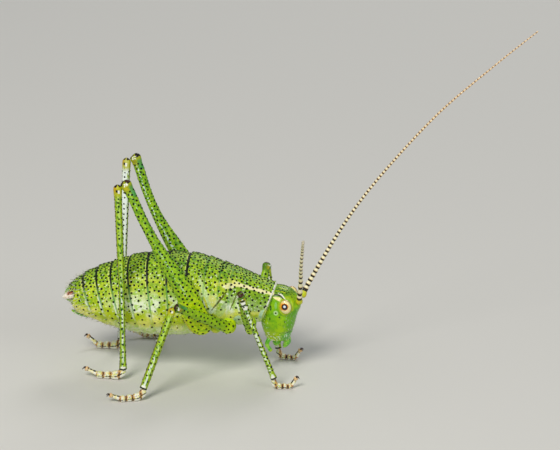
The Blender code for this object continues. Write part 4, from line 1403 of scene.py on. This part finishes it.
def make_leg_specks(name, femur, tibia, hind):
    """Specks over a femur and in rows down a tibia, and the tibia's spines and fine hairs."""
    rng = random.Random(name)
    span = (0.0, femur.length)
    marks = []

    def femur_gap(along, angle):
        s = math.sin(angle)
        if femur.length - along < 0.55 or along < 0.25:
            return 0.0
        if not hind:
            return 0.225
        return float(np.interp(along, [2.0, 4.5], [0.222, 0.200])) * (1.5 if s < -0.75 else 1.0)

    for along, angle in roots(femur, span, femur_gap, 9000 if hind else 2400, seed=name):
        size = float(np.interp(along, [2.0, 5.0], [0.078, 0.070])) if hind else 0.070
        size *= rng.uniform(0.8, 1.15)
        marks.append(grown(femur, span, along, angle, width=size, length=size * 0.9))
    span = (0.0, tibia.length)
    for row in [math.radians(turn) for turn in (62, 118, 242, 298)] + [0.05, math.pi]:
        along = 0.75 + rng.uniform(0.0, 0.1)
        while along < tibia.length - 0.32:
            size = rng.uniform(0.048, 0.074)
            angle = row + rng.uniform(-0.14, 0.14)
            marks.append(grown(tibia, span, along, angle, width=size, length=size * 0.9))
            along += rng.uniform(0.20, 0.44)
    scatter("specks_" + name, dome(), marks, SPECK)
    thorns = []
    for row in (0.30 * math.pi, 0.70 * math.pi):
        along = 0.9
        while along < tibia.length - 0.3:
            place = along + rng.uniform(-0.05, 0.05)
            thorns.append(grown(tibia, span, place, row, lean=42.0,
                                width=0.022, length=rng.uniform(0.08, 0.12)))
            along += 0.55
    for _ in range(160 if hind else 90):
        place = rng.uniform(0.3, tibia.length - 0.1)
        angle = rng.uniform(0.0, TAU)
        thorns.append(grown(tibia, span, place, angle, turn=rng.uniform(-20.0, 20.0), lean=50.0,
                            width=0.006, length=rng.uniform(0.06, 0.10)))
    scatter("bristles_" + name, hair(), thorns, HAIR)


# ---- mouth, tail and antennae -----------------------------------------------------------
def make_mouth():
    for name, stations, replaced in (("lip", LABRUM, "labrum"), ("jaw_pair", JAWS, "jaws")):
        limb = Limb(stations, SIDEWAYS, round_start=0.1, round_end=0.12)
        surface = skin(limb, limb.spaced(0.03), 32)
        finish(name, surface, PAINTS["mouth"], [replaced], HEAD_POSE)
    for name, side in SIDES.items():
        palp = Limb(mirrored_rows(PALP, side), SIDEWAYS, side, round_start=0.05, round_end=0.10, inset=0.0)
        surface = skin(palp, palp.spaced(0.03), 16)
        finish("feeler_of_mouth_" + name, surface, PAINTS["mouth"], ["palp_" + name], HEAD_POSE)


def mouth_paint():
    paint = Paint("mouth_skin", roughness=0.3, coat=0.4)
    at = paint.place()
    fine = paint.noise(at, 4.0, 2.0)
    start, end, _ = paint.attribute("run")
    tone = paint.mix(paint.rise(fine, 0.4, 0.6), colour(92, 186, 24), colour(164, 220, 70))
    tone = paint.mix(paint.rise(end, 0.16, 0.05) * 0.8, tone, YELLOW_GREEN)
    tone = paint.mix(paint.rise(start, 0.14, 0.06) * 0.5, tone, PALE_GREEN)
    paint.set("Base Color", tone)
    paint.bump(fine, 0.02, 0.4)
    return paint.material


def tail_paint():
    paint = Paint("tail_skin", roughness=0.42, coat=0.1)
    at = paint.place()
    _, up, _ = paint.attribute("lie")
    fine = paint.noise(at, 4.5, 2.0)
    tone = paint.mix(paint.rise(fine, 0.4, 0.6), colour(130, 186, 22), colour(196, 214, 44))
    tone = paint.mix(paint.rise(up.absolute(), 0.6, 0.9) * 0.7, tone, colour(92, 170, 30))
    paint.set("Base Color", tone)
    paint.bump(fine, 0.03, 0.5)
    return paint.material


def cercus_paint():
    """Pale rose with a brown spot underneath."""
    paint = Paint("tail_horn", roughness=0.42, coat=0.2)
    at = paint.place()
    _, _, share = paint.attribute("run")
    _, up, _ = paint.attribute("lie")
    fine = paint.noise(at, 6.0, 2.0)
    tone = paint.mix(paint.rise(fine, 0.4, 0.6), colour(244, 226, 204), WHITE)
    spot = paint.band(share, 0.34, 0.66, 0.06) * paint.rise(up, -0.2, -0.5)
    tone = paint.mix(spot, tone, paint.mix(paint.rise(fine, 0.42, 0.55), BROWN, ORANGE))
    paint.set("Base Color", tone)
    paint.bump(fine, 0.02, 0.5)
    return paint.material


def make_tail():
    """The two cerci with their hairs, the lobe between them and the plate below."""
    rng = random.Random(31)
    bristles = []
    for name, side in SIDES.items():
        horn = Limb(mirrored_rows(CERCUS, side), SIDEWAYS, side, round_start=0.1, round_end=0.03, inset=0.0)
        finish("tail_horn_" + name, skin(horn, horn.spaced(0.03), 20), PAINTS["cercus"],
               ["cercus_" + name])
        for _ in range(60):
            place = rng.uniform(0.25, horn.length - 0.05)
            bristles.append(grown(horn, (0.0, horn.length), place, rng.uniform(0.0, TAU), lean=50.0,
                                  width=0.014, length=rng.uniform(0.10, 0.20)))
    lobe = Limb(TAIL_LOBE, SIDEWAYS, round_start=0.1, round_end=0.14)
    finish("tail_lobe", skin(lobe, lobe.spaced(0.04), 40), PAINTS["tail"])
    plate = Limb(PLATE, SIDEWAYS, round_start=0.1, round_end=0.06)
    finish("tail_plate", skin(plate, plate.spaced(0.04), 24), PAINTS["mouth"],
           ["subgenital_plate"])
    scatter("tail_hairs", hair(), bristles, HAIR)


def feeler_joints(length, bead):
    """Where the antenna's joints lie: a thick first segment, then beads that slowly shorten."""
    joints = [0.0, 0.46, 0.72]
    while joints[-1] < length - 0.1:
        joints.append(joints[-1] + bead * (1.0 + 0.5 * math.exp(-joints[-1] / 5.0)))
    joints[-1] = length
    return joints


def feeler_paint():
    """Cream beads, each dark at its root, on a yellow first segment. They fade along the antenna."""
    paint = Paint("feeler", roughness=0.45, coat=0.15)
    at = paint.place()
    _, _, beads = paint.attribute("lie")
    along = beads.fraction()
    fine = paint.noise(at, 8.0, 2.0)
    far = paint.rise(beads, 8.0, 70.0)
    tone = paint.mix(far, colour(250, 242, 200), colour(236, 208, 164))
    dark = paint.mix(far, colour(34, 20, 8), colour(120, 66, 34))
    edge = 0.40 - 0.16 * far + (fine - 0.5) * 0.12
    shade = paint.rise(along - edge, 0.04, -0.04)
    amber = paint.band(along - edge, 0.0, 0.14, 0.05)
    tone = paint.mix(amber * 0.6, tone, colour(200, 150, 70))
    tone = paint.mix(shade, tone, dark)
    scape = paint.rise(beads, 1.0, 0.96)
    tone = paint.mix(scape, tone, paint.mix(paint.rise(fine, 0.42, 0.58), YELLOW, YELLOW_GREEN))
    tone = paint.mix(paint.band(beads, 0.84, 1.0, 0.03), tone, BLACK)
    paint.set("Base Color", tone)
    paint.bump(fine, 0.01, 0.4)
    return paint.material


def make_feeler(name, side):
    """One antenna: four lengths of beads on one route, with a ring of fine hairs at each joint."""
    route = smooth(FEELER_ROUTES[name], 12)
    steps = np.linalg.norm(np.diff(route, axis=0), axis=1)
    runs = np.concatenate([[0.0], np.cumsum(steps)])
    length = float(runs[-1])
    joints = feeler_joints(length, BEADS[name])

    def width_at(along):
        shares, widths = zip(*FEELER_WIDTHS)
        return float(np.interp(along / length, shares, widths))

    def bead(along):
        """Which segment a distance falls in, and how far along it, as one number."""
        return float(np.interp(along, joints, range(len(joints))))

    def shape(start, end, c, s):
        part = bead(start) % 1.0
        return width_at(start) * (0.10 * math.sin(math.pi * min(part * 1.3, 1.0)) - 0.08)

    stations = [(*row, width_at(run), width_at(run)) for row, run in zip(route, runs)]
    across = UPWARD if name == "right" else SIDEWAYS
    whole = Limb(stations, across, side, shape, 0.05, 0.05, 0.0)
    share = (len(joints) - 1) / FEELER_LENGTHS
    cuts = [joints[round(share * i)] for i in range(FEELER_LENGTHS + 1)]
    bristles = []
    rng = random.Random("feeler_" + name)
    for number, (first, last) in enumerate(zip(cuts, cuts[1:]), start=1):
        inner = [joint for joint in joints if first < joint < last]
        rows = []
        edges = [first, *inner, last]
        for start, end in zip(edges, edges[1:]):
            rows += [start + (end - start) * part for part in (0.03, 0.25, 0.5, 0.75, 0.97)]
        if number == FEELER_LENGTHS:
            rows = [row for row in rows if row < whole.length - 0.01]
        rows = [min(max(row, 0.01), whole.length - 0.005) for row in rows]
        surface = skin(whole, rows, 16 if number == 1 else 10, bead)
        finish("feeler_%s_%d" % (name, number), surface, PAINTS["feeler"],
               ["antenna_%s_%d" % (name, number)])
    for along in joints[2:-1]:
        for _ in range(5):
            angle = rng.uniform(0.0, TAU)
            reach = (0.10 - 0.035 * along / length) * rng.uniform(0.7, 1.2)
            matrix = sized(stance(whole, along - 0.03, angle, lean=48.0), 0.005, reach)
            bristles.append((matrix, unwrap(along, (0.0, length), angle)))
    scatter("feeler_hairs_" + name, hair(), bristles, HAIR)


# ---- plain finishes ---------------------------------------------------------------------
def plain(name, tone, roughness, coat=0.0):
    """A finish for small things: one tone with a little cloudiness."""
    paint = Paint(name, roughness=roughness, coat=coat)
    cloud = paint.noise(paint.place(), 3.0, 2.0)
    darker = tuple(value * 0.6 for value in tone[:3]) + (1.0,)
    paint.set("Base Color", paint.mix(paint.rise(cloud, 0.35, 0.65), darker, tone))
    return paint.material


SPECK = plain("speck", colour(6, 8, 4), 0.55)
HAIR = plain("hair", colour(232, 230, 214), 0.45)
CLAW = plain("claw", colour(60, 34, 16), 0.25, 0.5)
PAINTS = {
    "coxa": limb_paint("coxa_skin", False, "coxa"),
    "hind_femur": limb_paint("hind_femur_skin", True, "femur"),
    "short_femur": limb_paint("short_femur_skin", False, "femur"),
    "hind_tibia": limb_paint("hind_tibia_skin", True, "tibia"),
    "mid_tibia": limb_paint("mid_tibia_skin", False, "tibia", 45.0),
    "front_tibia": limb_paint("front_tibia_skin", False, "banded", -67.0),
    "foot": foot_paint(),
    "toe": toe_paint(),
    "tail": tail_paint(),
    "mouth": mouth_paint(),
    "cercus": cercus_paint(),
    "feeler": feeler_paint(),
}


# ---- stage ------------------------------------------------------------------------------
CAMERA_TURN = math.radians(7.0)
CAMERA_RISE = math.radians(18.0)
CAMERA_DISTANCE = 180.0
CAMERA_TARGET = Vector((5.137, 0.0, 8.595))
LENS = 210.6
FLOOR_RADIUS = 3.0              # metres
LIGHT_TARGET = Vector((0.0, 0.0, 5.0))


def to_metres(point):
    return TO_FRAME @ Vector(point)


def make_camera():
    level = math.cos(CAMERA_RISE)
    back = Vector((math.sin(CAMERA_TURN) * level, -math.cos(CAMERA_TURN) * level, math.sin(CAMERA_RISE)))
    data = bpy.data.cameras.new("camera")
    data.lens = LENS
    data.sensor_width = 36.0
    data.clip_start = 0.001
    data.clip_end = 20.0
    camera = bpy.data.objects.new("camera", data)
    camera.location = to_metres(CAMERA_TARGET + back * CAMERA_DISTANCE)
    camera.rotation_euler = back.to_track_quat("Z", "Y").to_euler()
    bpy.context.scene.collection.objects.link(camera)
    bpy.context.scene.camera = camera


def area_light(name, place, size, power_watts, tint):
    data = bpy.data.lights.new(name, "AREA")
    data.shape = "DISK"
    data.size = size * MM
    data.energy = power_watts
    data.color = tint
    light = bpy.data.objects.new(name, data)
    light.location = to_metres(place)
    light.rotation_euler = (Vector(place) - LIGHT_TARGET).to_track_quat("Z", "Y").to_euler()
    bpy.context.scene.collection.objects.link(light)


def make_stage():
    """A pale floor, an even sky and three soft lights."""
    bm = bmesh.new()
    bmesh.ops.create_circle(bm, cap_ends=True, segments=96, radius=FLOOR_RADIUS)
    mesh = bpy.data.meshes.new("floor")
    bm.to_mesh(mesh)
    bm.free()
    paint = Paint("floor", roughness=0.85)
    paint.set("Base Color", colour(214, 212, 204))
    mesh.materials.append(paint.material)
    floor = bpy.data.objects.new("floor", mesh)
    bpy.context.scene.collection.objects.link(floor)
    world = bpy.data.worlds.new("studio")
    world.use_nodes = True
    background = world.node_tree.nodes["Background"]
    background.inputs["Color"].default_value = (0.86, 0.90, 1.0, 1.0)
    background.inputs["Strength"].default_value = 0.30
    bpy.context.scene.world = world
    area_light("key", (-45.0, -160.0, 165.0), 85.0, 0.36, (1.0, 0.98, 0.94))
    area_light("fill", (160.0, -120.0, 90.0), 100.0, 0.07, (0.94, 0.97, 1.0))
    area_light("back", (40.0, 170.0, 150.0), 90.0, 0.11, (1.0, 1.0, 1.0))


def make_all():
    make_trunk()
    make_head()
    make_tail()
    for name, sizes in LEGS.items():
        make_leg(name, sizes)
    for name, side in SIDES.items():
        make_feeler(name, side)
    make_stage()
    make_camera()
    bpy.context.scene.view_settings.view_transform = "Standard"


make_all()
